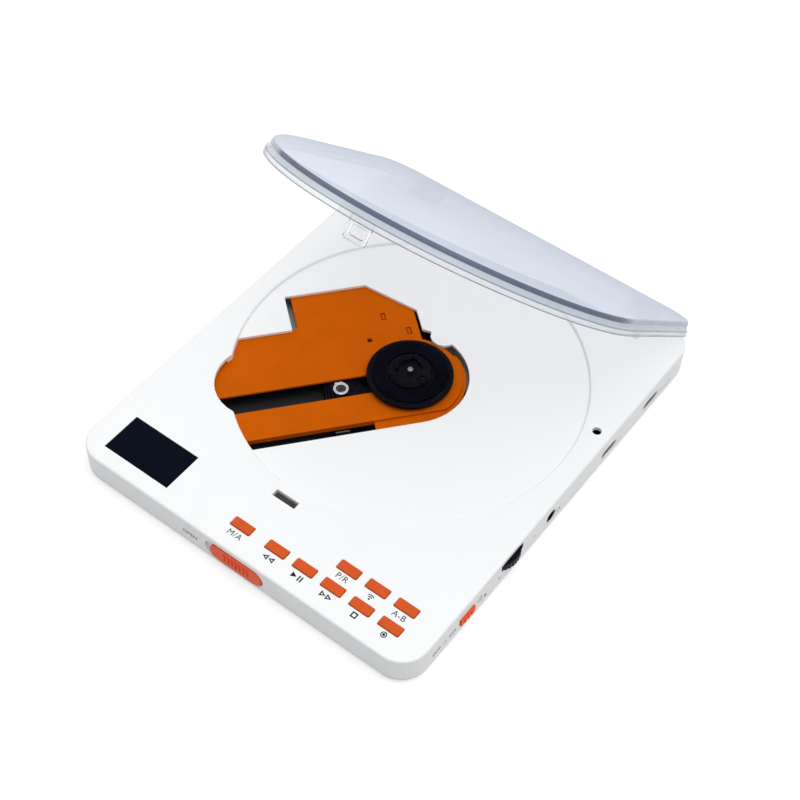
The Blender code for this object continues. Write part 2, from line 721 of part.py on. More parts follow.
def turned(name, profile, steps, centre=(0, 0), parent=None):
    """A profile of radius and height pairs, turned about a vertical axis."""
    form = bmesh.new()
    verts = [form.verts.new((radius, 0, height)) for radius, height in profile]
    for first, second in zip(verts, verts[1:]):
        form.edges.new((first, second))
    if profile[0][0] > 0:
        form.edges.new((verts[-1], verts[0]))
    mesh = bpy.data.meshes.new(name)
    form.to_mesh(mesh)
    form.free()
    obj = object_from(name, mesh, parent)
    obj.location = (*centre, 0)
    screw = obj.modifiers.new("turn", "SCREW")
    screw.steps = steps
    screw.render_steps = steps
    screw.use_merge_vertices = True
    screw.merge_threshold = WELD
    return obj


def join_by(operation, target, tools):
    for tool in tools:
        modifier = target.modifiers.new(operation.lower() + "_" + tool.name, "BOOLEAN")
        modifier.operation = operation
        modifier.solver = "EXACT"
        modifier.object = tool


def cut(target, *tools):
    join_by("DIFFERENCE", target, tools)


def fuse(target, *tools):
    join_by("UNION", target, tools)


def bevel_edges(obj, width, segments=2):
    bevel = obj.modifiers.new("edge", "BEVEL")
    bevel.width = width
    bevel.segments = segments
    bevel.limit_method = "ANGLE"


def stadium(half_length, radius, steps):
    """A slot outline with round ends, lying along X."""
    reach = half_length - radius
    return arc(reach, 0, radius, -90, 90, steps) + arc(-reach, 0, radius, 90, 270, steps)


def standing(name, loops, low, high, facing, parent=None):
    """An outline drawn in X and Z and raised along Y, or drawn in Y and Z and raised along X."""
    obj = extruded(name, loops, low, high, parent)
    if facing == "Y":
        turn = Matrix(((1, 0, 0, 0), (0, 0, 1, 0), (0, 1, 0, 0), (0, 0, 0, 1)))
    else:
        turn = Matrix(((0, 0, 1, 0), (1, 0, 0, 0), (0, 1, 0, 0), (0, 0, 0, 1)))
    form = bmesh.new()
    form.from_mesh(obj.data)
    bmesh.ops.transform(form, matrix=turn, verts=form.verts)
    bmesh.ops.recalc_face_normals(form, faces=form.faces)
    form.to_mesh(obj.data)
    form.free()
    return obj


def shifted(points, x, y):
    return [(px + x, py + y) for px, py in points]


def key_places():
    """Name and centre of each key: a row of six along the front and three behind its right end."""
    front_names = ("key_stop", "key_forward", "key_play", "key_rewind")
    places = [("key_mode", MODE_KEY_X, KEY_FRONT_Y), ("key_sound", KEY_LAST_X, KEY_FRONT_Y)]
    for count, name in enumerate(front_names, 1):
        places.append((name, KEY_LAST_X - count * KEY_PITCH, KEY_FRONT_Y))
    for count, name in enumerate(("key_repeat", "key_wireless", "key_program")):
        places.append((name, KEY_LAST_X - count * KEY_PITCH, KEY_FRONT_Y + KEY_ROW_SPACING))
    return places


def key_outline(x, y, grow=0.0):
    def outline(inset):
        half_x = KEY_WIDTH / 2 + grow
        half_y = KEY_DEPTH / 2 + grow
        return shifted(rounded_outline(half_x, half_y, KEY_CORNER, KEY_CORNER, inset, 1), x, y)

    return outline


def opening_outline():
    """The opening in the well floor, bounded by the well's wall where the pickup's travel ends."""
    wall_near = math.degrees(math.asin(OPENING_NEAR / WELL_RADIUS))
    wall_shelf = math.degrees(math.asin(OPENING_SHELF_Y / WELL_RADIUS))
    reach = math.hypot(BUMP_X, BUMP_Y)
    heading = math.degrees(math.atan2(-BUMP_Y, BUMP_X))
    on_wall = math.degrees(
        math.acos((reach**2 + WELL_RADIUS**2 - BUMP_RADIUS**2) / (2 * reach * WELL_RADIUS))
    )
    on_bump = math.degrees(
        math.acos((WELL_RADIUS**2 - reach**2 - BUMP_RADIUS**2) / (2 * reach * BUMP_RADIUS))
    )
    points = [
        (OPENING_SHELF_X, -OPENING_SHELF_Y),
        (OPENING_SHELF_X, -OPENING_FAR),
        (OPENING_CHAMFER_X, -OPENING_FAR),
        (-OPENING_BACK, -OPENING_CHAMFER_Y),
        (-OPENING_BACK, -OPENING_BACK_END),
    ]
    points += arc(-LOBE_X, -LOBE_Y, LOBE_RADIUS, -35, 105, OPENING_STEPS // 2)
    points += arc(0, 0, OPENING_NEAR, 212, 90, 2 * OPENING_STEPS)
    points += arc(0, 0, WELL_RADIUS, wall_near, heading + on_wall, 2)
    points += arc(BUMP_X, -BUMP_Y, BUMP_RADIUS, heading + on_bump, heading - on_bump, OPENING_STEPS)[1:-1]
    points += arc(0, 0, WELL_RADIUS, heading - on_wall, -wall_shelf, 2)
    return points


def cover_outline(near, ring):
    """The cover plate's outside, with its near edge and the ring that goes round the turntable."""
    meet = math.degrees(math.asin(near / ring))
    back = math.degrees(math.acos(COVER_BACK / ring))
    points = [
        (COVER_SHELF_X, -COVER_SHELF_Y),
        (COVER_SHELF_X, -COVER_FAR),
        (COVER_CHAMFER_X, -COVER_FAR),
        (-COVER_BACK, -COVER_CHAMFER_Y),
        (-COVER_BACK, -COVER_BACK_END),
    ]
    points += arc(0, 0, ring, 180 + back, 180 - meet, 2 * OPENING_STEPS)
    points += [
        (COVER_END, near),
        (COVER_TIP, COVER_TIP_NEAR),
        (COVER_TIP, -COVER_TIP_FAR),
        (COVER_SHOULDER_X, -COVER_SHOULDER_Y),
        (WELL_RADIUS, -COVER_SHELF_Y),
    ]
    return points


def make_top_case():
    """Deck, side walls, well, screw bosses and hinge rail, with every opening cut through."""
    profile = [
        (CASE_WALL, DECK_UNDERSIDE),
        (CASE_WALL, SEAM_TOP),
        (0, SEAM_TOP),
    ]
    for step in range(FILLET_STEPS + 1):
        angle = math.pi / 2 * step / FILLET_STEPS
        inset = TOP_FILLET * (1 - math.cos(angle))
        profile.append((inset, BODY_HEIGHT - TOP_FILLET * (1 - math.sin(angle))))
    case = swept("top_case", body_outline, profile)
    dish = cylinder(
        "well_dish", (0, WELL_Y), WELL_RADIUS + WELL_WALL, FLOOR_BOTTOM,
        DECK_UNDERSIDE + DECK_THICKNESS / 2, segments=WELL_STEPS,
    )
    fuse(case, dish)
    for name, x, y in boss_places():
        fuse(case, cylinder("boss_" + name, (x, y), BOSS_RADIUS, BOSS_BOTTOM, DECK_UNDERSIDE + SLIVER))
    make_hinge_rail(case)
    well = turned(
        "well_cut",
        [
            (0, BODY_HEIGHT + OVERRUN),
            (WELL_RADIUS + WELL_CHAMFER, BODY_HEIGHT + OVERRUN),
            (WELL_RADIUS + WELL_CHAMFER, BODY_HEIGHT),
            (WELL_RADIUS, BODY_HEIGHT - WELL_CHAMFER),
            (WELL_RADIUS, FLOOR_TOP),
            (0, FLOOR_TOP),
        ],
        WELL_STEPS,
        (0, WELL_Y),
    )
    cut(case, well)
    opening = extruded(
        "mechanism_opening", [opening_outline()], FLOOR_BOTTOM - OVERRUN, BODY_HEIGHT + OVERRUN, DRIVE
    )
    cut(case, opening)
    cut_deck(case)
    cut_front(case)
    cut_right_side(case)
    return finish_part(case, (0.88, 0.89, 0.89), 0.45)


def boss_places():
    return [
        ("front_left", -BOSS_X, BOSS_FRONT_Y),
        ("front_right", BOSS_X, BOSS_FRONT_Y),
        ("back_left", -BOSS_X, BOSS_BACK_Y),
        ("back_right", BOSS_X, BOSS_BACK_Y),
    ]


def make_hinge_rail(case):
    """A solid rail under the back edge, rebated for the lid, with knuckles for the hinge pins."""
    rail = box(
        "hinge_rail",
        (-KNUCKLE_END, HINGE_Y - RAIL_FRONT, HINGE_HEIGHT - RAIL_BOTTOM),
        (KNUCKLE_END, BACK_Y - CASE_WALL / 2, DECK_UNDERSIDE + SLIVER),
    )
    corner_trim = swept(
        "rail_trim", body_outline, [(CASE_WALL / 2, SEAM_TOP), (CASE_WALL / 2, BODY_HEIGHT - TOP_FILLET)]
    )
    join_by("INTERSECT", rail, [corner_trim])
    fuse(case, rail)
    ledge = HINGE_HEIGHT + REBATE_FLOOR
    rebate = box(
        "lid_rebate",
        (-SIDE_X - OVERRUN, HINGE_Y + REBATE_FRONT, ledge),
        (SIDE_X + OVERRUN, BACK_Y + OVERRUN, BODY_HEIGHT + OVERRUN),
    )
    cut(case, rebate)
    knuckle = EAR_RADIUS
    fuse(case, cylinder("knuckle_middle", (HINGE_Y, HINGE_HEIGHT), knuckle, GAP - EAR_START, EAR_START - GAP, "X"))
    for side in (-1, 1):
        ends = sorted((side * (EAR_END + GAP), side * KNUCKLE_END))
        label = "left" if side < 0 else "right"
        fuse(case, cylinder("knuckle_" + label, (HINGE_Y, HINGE_HEIGHT), knuckle, *ends, "X"))
        pocket_ends = sorted((side * (EAR_START - GAP), side * (EAR_END + GAP)))
        pocket = EAR_RADIUS + GAP
        cut(
            case,
            cylinder("ear_pocket_" + label, (HINGE_Y, HINGE_HEIGHT), pocket, *pocket_ends, "X"),
            box(
                "ear_mouth_" + label,
                (pocket_ends[0], HINGE_Y - pocket, HINGE_HEIGHT),
                (pocket_ends[1], BACK_Y + OVERRUN, BODY_HEIGHT + OVERRUN),
            ),
        )
        hole_ends = sorted((side * (PIN_START - GAP), side * (PIN_END + GAP)))
        hole = PIN_RADIUS + RUNNING_GAP
        cut(case, cylinder("pin_hole_" + label, (HINGE_Y, HINGE_HEIGHT), hole, *hole_ends, "X", SMALL_SEGMENTS))


def cut_deck(case):
    """Display recess, key holes, latch slot, lid sensor hole and pilot holes."""
    half = Vector((DISPLAY_WIDTH / 2 + SIDE_GAP, DISPLAY_DEPTH / 2 + SIDE_GAP))
    ledge = Vector((DISPLAY_WIDTH / 2 - DISPLAY_LEDGE, DISPLAY_DEPTH / 2 - DISPLAY_LEDGE))
    middle = Vector((DISPLAY_X, DISPLAY_Y))
    cut(
        case,
        box("display_recess", (*(middle - half), BODY_HEIGHT - DISPLAY_RECESS), (*(middle + half), BODY_HEIGHT + OVERRUN)),
        box("display_aperture", (*(middle - ledge), DECK_UNDERSIDE - OVERRUN), (*(middle + ledge), BODY_HEIGHT)),
    )
    for name, x, y in key_places():
        hole = key_outline(x, y, SIDE_GAP)
        ends = [(0, DECK_UNDERSIDE - OVERRUN), (0, BODY_HEIGHT + OVERRUN)]
        cut(case, swept("hole_" + name, hole, ends))
    slot_front = TAB_FACE_Y - LATCH_FRONT_MARGIN
    slot_back = TAB_FACE_Y + TAB_THICKNESS + LATCH_BACK_MARGIN
    cut(
        case,
        box(
            "latch_slot",
            (-LATCH_SLOT_WIDTH / 2, slot_front, DECK_UNDERSIDE - OVERRUN),
            (LATCH_SLOT_WIDTH / 2, slot_back, BODY_HEIGHT + OVERRUN),
        ),
        cylinder(
            "sensor_hole", (SENSOR_X, SENSOR_Y), SENSOR_HOLE_RADIUS, DECK_UNDERSIDE - OVERRUN, BODY_HEIGHT + OVERRUN
        ),
    )
    for name, x, y in boss_places():
        low = BOSS_BOTTOM - OVERRUN
        cut(case, cylinder("pilot_" + name, (x, y), PILOT_RADIUS, low, PILOT_TOP, segments=SMALL_SEGMENTS))


def cut_front(case):
    """The slider's recess, long enough for its travel, and the slot for its tongue."""
    radius = SLIDER_HEIGHT / 2 + RECESS_MARGIN
    length = SLIDER_WIDTH + SLIDER_TRAVEL + 2 * RECESS_MARGIN
    outline = shifted(stadium(length / 2, radius, CORNER_STEPS), SLIDER_X - SLIDER_TRAVEL / 2, SLIDER_Z)
    depth = SLIDER_THICKNESS - SLIDER_PROUD + GAP
    recess = standing("slider_recess", [outline], FRONT_Y - OVERRUN, FRONT_Y + depth, "Y")
    half = TONGUE_WIDTH / 2 + GAP
    slot = box(
        "tongue_slot",
        (SLIDER_X - half - SLIDER_TRAVEL, FRONT_Y, TONGUE_BOTTOM - GAP),
        (SLIDER_X + half, INNER_FRONT_Y + OVERRUN, TONGUE_BOTTOM + TONGUE_THICKNESS + GAP),
    )
    cut(case, recess, slot)


def cut_right_side(case):
    """Slots and holes for the wheel, the switch knob and the sockets."""
    low = WHEEL_TOP - WHEEL_THICKNESS - GAP
    wheel_slot = cylinder(
        "wheel_slot", (WHEEL_X, WHEEL_Y), WHEEL_RADIUS + WHEEL_SLOT_MARGIN, low, WHEEL_TOP + GAP,
        segments=ROUND_SEGMENTS,
    )
    margin = RECESS_MARGIN
    recess = box(
        "knob_recess",
        (SIDE_X - KNOB_RECESS, KNOB_Y - KNOB_LENGTH / 2 - margin, KNOB_Z - KNOB_HEIGHT / 2 - margin),
        (SIDE_X + OVERRUN, KNOB_Y + KNOB_LENGTH / 2 + KNOB_TRAVEL + margin, KNOB_Z + KNOB_HEIGHT / 2 + margin),
    )
    stem_half = KNOB_STEM_LENGTH / 2 + GAP
    stem_slot = box(
        "stem_slot",
        (INNER_SIDE_X - OVERRUN, KNOB_Y - stem_half, KNOB_Z - KNOB_STEM_HEIGHT / 2 - GAP),
        (SIDE_X, KNOB_Y + stem_half + KNOB_TRAVEL, KNOB_Z + KNOB_STEM_HEIGHT / 2 + GAP),
    )
    jack = cylinder(
        "jack_hole", (JACK_Y, JACK_Z), JACK_HOLE_RADIUS, INNER_SIDE_X - OVERRUN, SIDE_X + OVERRUN, "X"
    )
    cut(case, wheel_slot, recess, stem_slot, jack)
    radius = SOCKET_HEIGHT / 2 + SOCKET_MARGIN
    for name, y in (("charge", CHARGE_SOCKET_Y), ("data", DATA_SOCKET_Y)):
        outline = shifted(stadium(SOCKET_WIDTH / 2 + SOCKET_MARGIN, radius, CORNER_STEPS), y, SOCKET_Z)
        cut(case, standing(name + "_hole", [outline], INNER_SIDE_X - OVERRUN, SIDE_X + OVERRUN, "X"))
    card = box(
        "card_hole",
        (INNER_SIDE_X - OVERRUN, CARD_SLOT_Y - CARD_SLOT_WIDTH / 2, CARD_SLOT_Z - CARD_SLOT_HEIGHT / 2),
        (SIDE_X + OVERRUN, CARD_SLOT_Y + CARD_SLOT_WIDTH / 2, CARD_SLOT_Z + CARD_SLOT_HEIGHT / 2),
    )
    cut(case, card)


def make_bottom_case():
    """A rounded tray whose lip stands inside the top case, with screw pads, posts and foot recesses."""
    profile = []
    for step in range(FILLET_STEPS + 1):
        angle = math.pi / 2 * step / FILLET_STEPS
        profile.append((BASE_THICKNESS * (1 - math.sin(angle)), BASE_THICKNESS * (1 - math.cos(angle))))
    lip = CASE_WALL + GAP
    profile += [
        (lip, BASE_THICKNESS),
        (lip, BASE_THICKNESS + LIP_HEIGHT),
        (lip + LIP_WALL, BASE_THICKNESS + LIP_HEIGHT),
        (lip + LIP_WALL, BASE_THICKNESS),
    ]
    case = swept("bottom_case", body_outline, profile)
    floor = BASE_THICKNESS - SLIVER
    for name, x, y in boss_places():
        fuse(case, cylinder("pad_" + name, (x, y), PAD_RADIUS, floor, PAD_TOP))
    for count, (x, y) in enumerate(damper_places()):
        fuse(case, cylinder(f"damper_post_{count}", (x, y), DAMPER_POST, floor, DAMPER_POST_TOP, parent=DRIVE))
    for count, (x, y) in enumerate(board_post_places()):
        fuse(case, cylinder(f"board_post_{count}", (x, y), BOARD_POST_RADIUS, floor, BOARD_BOTTOM - GAP))
    for count, (x, y) in enumerate(key_post_places()):
        top = KEY_BOARD_TOP - KEY_BOARD - GAP
        fuse(case, cylinder(f"key_post_{count}", (x, y), BOARD_POST_RADIUS, floor, top))
    cut_lip(case)
    for name, x, y in boss_places():
        cut(
            case,
            cylinder("counterbore_" + name, (x, y), COUNTERBORE_RADIUS, -OVERRUN, COUNTERBORE),
            cylinder("clearance_" + name, (x, y), CLEARANCE_HOLE, 0, PAD_TOP + OVERRUN, segments=SMALL_SEGMENTS),
        )
    for name, x, y in foot_places():
        cut(case, cylinder("recess_" + name, (x, y), FOOT_RADIUS + GAP, -OVERRUN, FOOT_RECESS, segments=SEGMENTS))
    return finish_part(case, (0.86, 0.87, 0.87), 0.5)


def damper_places():
    return [
        (DAMPER_X, -DAMPER_FAR_Y),
        (DAMPER_X, DAMPER_NEAR_Y),
        (SHELF_DAMPER_X, -SHELF_DAMPER_Y),
        (-BACK_DAMPER_X, BACK_DAMPER_Y),
    ]


def board_post_places():
    inner = BOARD_POST_RADIUS + OVERRUN
    return [
        (BOARD_LEFT + inner, BOARD_FRONT + inner),
        (BOARD_LEFT + inner, BOARD_WAIST_Y - inner),
        (BOARD_WAIST_X + inner, BOARD_BACK - inner),
    ]


def key_post_places():
    inner = BOARD_POST_RADIUS + OVERRUN
    return [
        (KEY_BOARD_LEFT + inner, KEY_BOARD_STEP_Y - inner),
        (KEY_BOARD_STEP_X + inner, KEY_BOARD_FRONT + inner),
        (KEY_BOARD_RIGHT - inner, KEY_BOARD_BACK - inner),
    ]


def foot_places():
    return [
        ("front_left", -FOOT_X, FOOT_FRONT_Y),
        ("front_right", FOOT_X, FOOT_FRONT_Y),
        ("back_left", -FOOT_X, FOOT_BACK_Y),
        ("back_right", FOOT_X, FOOT_BACK_Y),
    ]


def cut_lip(case):
    """Gaps in the lip for what passes through the walls, and for the hinge rail."""
    inner = CASE_WALL + GAP + LIP_WALL
    top = BASE_THICKNESS + LIP_HEIGHT + OVERRUN
    half = TONGUE_WIDTH / 2 + 2 * GAP
    front = box(
        "lip_gap_front",
        (SLIDER_X - half - SLIDER_TRAVEL, FRONT_Y, BASE_THICKNESS),
        (SLIDER_X + half, FRONT_Y + inner + OVERRUN, top),
    )
    sockets = box(
        "lip_gap_sockets",
        (SIDE_X - inner - OVERRUN, JACK_Y - JACK_WIDTH, BASE_THICKNESS),
        (SIDE_X, CARD_SLOT_Y + CARD_SLOT_WIDTH, top),
    )
    cut(case, front, sockets)


def make_lid():
    """The clear lid: panel, stepped rim, latch tab, hinge ears and the pin that works the lid switch."""
    inner = LID_DRAFT_INSET + LID_WALL
    profile = [
        (inner + LID_COVE, LID_CEILING),
        (inner, LID_CEILING - LID_COVE),
        (inner, LID_INNER_STEP),
        (LID_SKIRT_WALL, LID_INNER_STEP),
        (LID_SKIRT_WALL, LID_BOTTOM),
        (0, LID_BOTTOM),
        (LID_SKIRT_DRAFT, LID_STEP_BOTTOM),
        (LID_STEP_INSET, LID_STEP_TOP),
        (LID_DRAFT_INSET, LID_TOP - LID_EDGE),
        (LID_DRAFT_INSET + LID_EDGE / 3, LID_TOP - LID_EDGE / 4),
        (LID_DRAFT_INSET + LID_EDGE, LID_TOP),
    ]
    lid = swept("lid", lid_outline, profile, LID_FRAME)
    outer = TAB_REACH
    half = TAB_WIDTH / 2
    root = box(
        "tab_root",
        (-half, -outer, LID_BOTTOM),
        (half, TAB_ROOT_DEPTH - outer, TAB_ROOT_TOP),
        LID_FRAME,
    )
    blade_outline = [(half, TAB_ROOT_TOP - SLIVER), (-half, TAB_ROOT_TOP - SLIVER)]
    blade_outline += arc(TAB_ROUND - half, TAB_ROUND - TAB_TIP, TAB_ROUND, 180, 270, CORNER_STEPS // 2)
    blade_outline += arc(half - TAB_ROUND, TAB_ROUND - TAB_TIP, TAB_ROUND, 270, 360, CORNER_STEPS // 2)
    window = [
        (-WINDOW_WIDTH / 2, -WINDOW_BOTTOM),
        (WINDOW_WIDTH / 2, -WINDOW_BOTTOM),
        (WINDOW_WIDTH / 2, WINDOW_TOP),
        (-WINDOW_WIDTH / 2, WINDOW_TOP),
    ]
    blade = standing("tab_blade", [blade_outline, window], SLIVER - outer, TAB_THICKNESS - outer, "Y", LID_FRAME)
    fuse(lid, root, blade)
    for side in (-1, 1):
        ends = sorted((side * EAR_START, side * EAR_END))
        label = "left" if side < 0 else "right"
        web = box(
            "ear_web_" + label,
            (ends[0], EAR_WEB_FRONT, 0),
            (ends[1], EAR_WEB_BACK, LID_CEILING + LID_PANEL / 2),
            LID_FRAME,
        )
        barrel = cylinder("ear_" + label, (0, 0), EAR_RADIUS - SLIVER, *ends, "X", parent=LID_FRAME)
        bore = cylinder(
            "ear_bore_" + label, (0, 0), PIN_RADIUS + RUNNING_GAP, ends[0] - OVERRUN, ends[1] + OVERRUN, "X",
            SMALL_SEGMENTS, LID_FRAME,
        )
        fuse(lid, web, barrel)
        cut(lid, bore)
    sensor = cylinder(
        "sensor_pin", (SENSOR_X, SENSOR_Y - HINGE_Y), SENSOR_PIN_RADIUS, SENSOR_PIN_TIP,
        LID_CEILING + LID_PANEL / 2, segments=SMALL_SEGMENTS, parent=LID_FRAME,
    )
    fuse(lid, sensor)
    return finish_part(lid, (0.80, 0.84, 0.90), 0.08, alpha=0.35)


def make_hinge_pins():
    for side in (-1, 1):
        ends = sorted((side * PIN_START, side * PIN_END))
        name = "hinge_pin_left" if side < 0 else "hinge_pin_right"
        pin = cylinder(name, (HINGE_Y, HINGE_HEIGHT), PIN_RADIUS, *ends, "X", SMALL_SEGMENTS)
        finish_part(pin, (0.55, 0.56, 0.58), 0.3, 1.0, round_piece=True)


def make_fasteners():
    for name, x, y in boss_places():
        head_top = SCREW_HEAD_BOTTOM + SCREW_HEAD
        screw = turned(
            "screw_" + name,
            [
                (0, SCREW_TOP),
                (SCREW_RADIUS, SCREW_TOP),
                (SCREW_RADIUS, head_top),
                (SCREW_HEAD_RADIUS, head_top),
                (SCREW_HEAD_RADIUS, SCREW_HEAD_BOTTOM),
                (0, SCREW_HEAD_BOTTOM),
            ],
            SMALL_SEGMENTS,
            (x, y),
        )
        drive = SCREW_DRIVE_RADIUS
        for count, half in enumerate(((drive, drive / 3), (drive / 3, drive))):
            low = (x - half[0], y - half[1], SCREW_HEAD_BOTTOM - OVERRUN)
            high = (x + half[0], y + half[1], SCREW_HEAD_BOTTOM + SCREW_DRIVE_DEPTH)
            cut(screw, box(f"drive_{name}_{count}", low, high))
        finish_part(screw, (0.45, 0.45, 0.47), 0.35, 1.0, round_piece=True)
    for name, x, y in foot_places():
        foot = turned(
            "foot_" + name,
            [
                (0, FOOT_RECESS - GAP),
                (FOOT_RADIUS, FOOT_RECESS - GAP),
                (FOOT_RADIUS, FOOT_EDGE - FOOT_PROUD),
                (FOOT_RADIUS - FOOT_EDGE, -FOOT_PROUD),
                (0, -FOOT_PROUD),
            ],
            SEGMENTS,
            (x, y),
        )
        finish_part(foot, (0.12, 0.12, 0.13), 0.85, round_piece=True)


def make_display():
    half = Vector((DISPLAY_WIDTH / 2, DISPLAY_DEPTH / 2))
    middle = Vector((DISPLAY_X, DISPLAY_Y))
    low = BODY_HEIGHT - DISPLAY_RECESS + RUNNING_GAP
    glass = box("display_window", (*(middle - half), low), (*(middle + half), low + DISPLAY_GLASS))
    finish_part(glass, (0.01, 0.015, 0.025), 0.1)
    inner = half - Vector((DISPLAY_LEDGE, DISPLAY_LEDGE)) / 2
    top = DECK_UNDERSIDE - GAP
    module = box("display_module", (*(middle - inner), top - DISPLAY_MODULE_HEIGHT), (*(middle + inner), top))
    bevel_edges(module, GAP, 1)
    finish_part(module, (0.1, 0.12, 0.13), 0.4)


def make_keys():
    """Flanged keys that drop through the deck onto a dimpled silicone pad."""
    flange_bottom = KEY_FLANGE_TOP - KEY_FLANGE_HEIGHT
    profile = [
        (KEY_EDGE, BODY_HEIGHT + KEY_PROUD),
        (0, BODY_HEIGHT + KEY_PROUD - KEY_EDGE),
        (0, KEY_FLANGE_TOP),
        (-KEY_FLANGE, KEY_FLANGE_TOP),
        (-KEY_FLANGE, flange_bottom),
    ]
    for name, x, y in key_places():
        key = swept(name, key_outline(x, y), profile)
        set_origin(key, (x, y, KEY_FLANGE_TOP))
        finish_part(key, (0.75, 0.13, 0.02), 0.4)
    outline = key_board_outline(KEY_FLANGE)
    pad = extruded("key_pad", [outline], PAD_BOTTOM, PAD_BOTTOM + PAD_SHEET)
    for name, x, y in key_places():
        dome = turned(
            "dome_" + name,
            [
                (0, PAD_DOME_TOP),
                (PAD_DOME_RADIUS / 2, PAD_DOME_TOP),
                (PAD_DOME_RADIUS, PAD_BOTTOM + PAD_SHEET / 2),
                (0, PAD_BOTTOM + PAD_SHEET / 2),
            ],
            SMALL_SEGMENTS // 2,
            (x, y),
        )
        fuse(pad, dome)
    finish_part(pad, (0.75, 0.75, 0.72), 0.8)
    board = extruded("key_board", [key_board_outline(0)], KEY_BOARD_TOP - KEY_BOARD, KEY_BOARD_TOP)
    finish_part(board, (0.05, 0.25, 0.10), 0.5)


def key_board_outline(inset):
    return [
        (KEY_BOARD_LEFT + inset, KEY_BOARD_FRONT + inset),
        (KEY_BOARD_RIGHT - inset, KEY_BOARD_FRONT + inset),
        (KEY_BOARD_RIGHT - inset, KEY_BOARD_BACK - inset),
        (KEY_BOARD_STEP_X + inset, KEY_BOARD_BACK - inset),
        (KEY_BOARD_STEP_X + inset, KEY_BOARD_STEP_Y - inset),
        (KEY_BOARD_LEFT + inset, KEY_BOARD_STEP_Y - inset),
    ]


def make_slider():
    """The front slider: a ribbed cap outside and a tongue inside, whose slanted slot drives the catch."""
    outline = shifted(stadium(SLIDER_WIDTH / 2, SLIDER_HEIGHT / 2, CORNER_STEPS), SLIDER_X, SLIDER_Z)
    front = FRONT_Y - SLIDER_PROUD
    slider = standing("open_slider", [outline], front, front + SLIDER_THICKNESS, "Y")
    half = TONGUE_WIDTH / 2
    tongue = box(
        "slider_tongue",
        (SLIDER_X - half, front + SLIDER_THICKNESS / 2, TONGUE_BOTTOM),
        (SLIDER_X + half, TONGUE_END_Y, TONGUE_BOTTOM + TONGUE_THICKNESS),
    )
    fuse(slider, tongue)
    for count in range(SLIDER_RIBS):
        x = SLIDER_X + (count - (SLIDER_RIBS - 1) / 2) * SLIDER_RIB_PITCH
        rib = box(
            f"slider_rib_{count}",
            (x - SLIDER_RIB_WIDTH / 2, front - SLIDER_RIB_PROUD, SLIDER_Z - SLIDER_RIB_HEIGHT / 2),
            (x + SLIDER_RIB_WIDTH / 2, front + SLIDER_THICKNESS / 2, SLIDER_Z + SLIDER_RIB_HEIGHT / 2),
        )
        fuse(slider, rib)
    cam = cam_outline()
    cut(slider, extruded("cam_slot", [cam], TONGUE_BOTTOM - OVERRUN, TONGUE_BOTTOM + TONGUE_THICKNESS + OVERRUN))
    set_origin(slider, (SLIDER_X, front, SLIDER_Z))
    finish_part(slider, (0.70, 0.10, 0.02), 0.4)


def cam_outline():
    """The slot that the catch's pin follows: it leans by the catch's travel over the slider's."""
    radius = CATCH_PIN_RADIUS + GAP
    lean = math.degrees(math.atan2(-CATCH_RATIO, 1))
    far_x = SLIDER_TRAVEL
    far_y = CATCH_PIN_Y - CATCH_RATIO * SLIDER_TRAVEL
    near = arc(0, CATCH_PIN_Y, radius, lean + 90, lean + 270, CORNER_STEPS)
    return near + arc(far_x, far_y, radius, lean - 90, lean + 90, CORNER_STEPS)


def make_catch():
    """The catch rides on the tongue and reaches up behind the slot that the lid's tab enters."""
    nose_tip = TAB_FACE_Y - GAP
    arm_back = nose_tip - CATCH_ARM_DEPTH / 2
    top = CATCH_BOTTOM + CATCH_PLATE
    catch = box(
        "lid_catch",
        (-CATCH_WIDTH / 2, CATCH_PIN_Y - CATCH_FRONT, CATCH_BOTTOM),
        (CATCH_WIDTH / 2, arm_back, top),
    )
    arm = box(
        "catch_arm",
        (-NOSE_WIDTH / 2, arm_back - CATCH_ARM_DEPTH, CATCH_BOTTOM + SLIVER),
        (NOSE_WIDTH / 2, arm_back - SLIVER, NOSE_TOP),
    )
    nose = standing(
        "catch_nose",
        [
            [
                (arm_back - CATCH_ARM_DEPTH / 2, NOSE_BOTTOM),
                (nose_tip, NOSE_BOTTOM),
                (nose_tip, (NOSE_BOTTOM + NOSE_TOP) / 2),
                (arm_back - CATCH_ARM_DEPTH / 2, NOSE_TOP - SLIVER),
            ]
        ],
        SLIVER - NOSE_WIDTH / 2,
        NOSE_WIDTH / 2 - SLIVER,
        "X",
    )
    pin = cylinder("catch_pin", (0, CATCH_PIN_Y), CATCH_PIN_RADIUS, TONGUE_BOTTOM, top - SLIVER, segments=SMALL_SEGMENTS)
    fuse(catch, arm, nose, pin)
    set_origin(catch, (0, CATCH_PIN_Y, CATCH_BOTTOM))
    finish_part(catch, (0.80, 0.80, 0.78), 0.45)


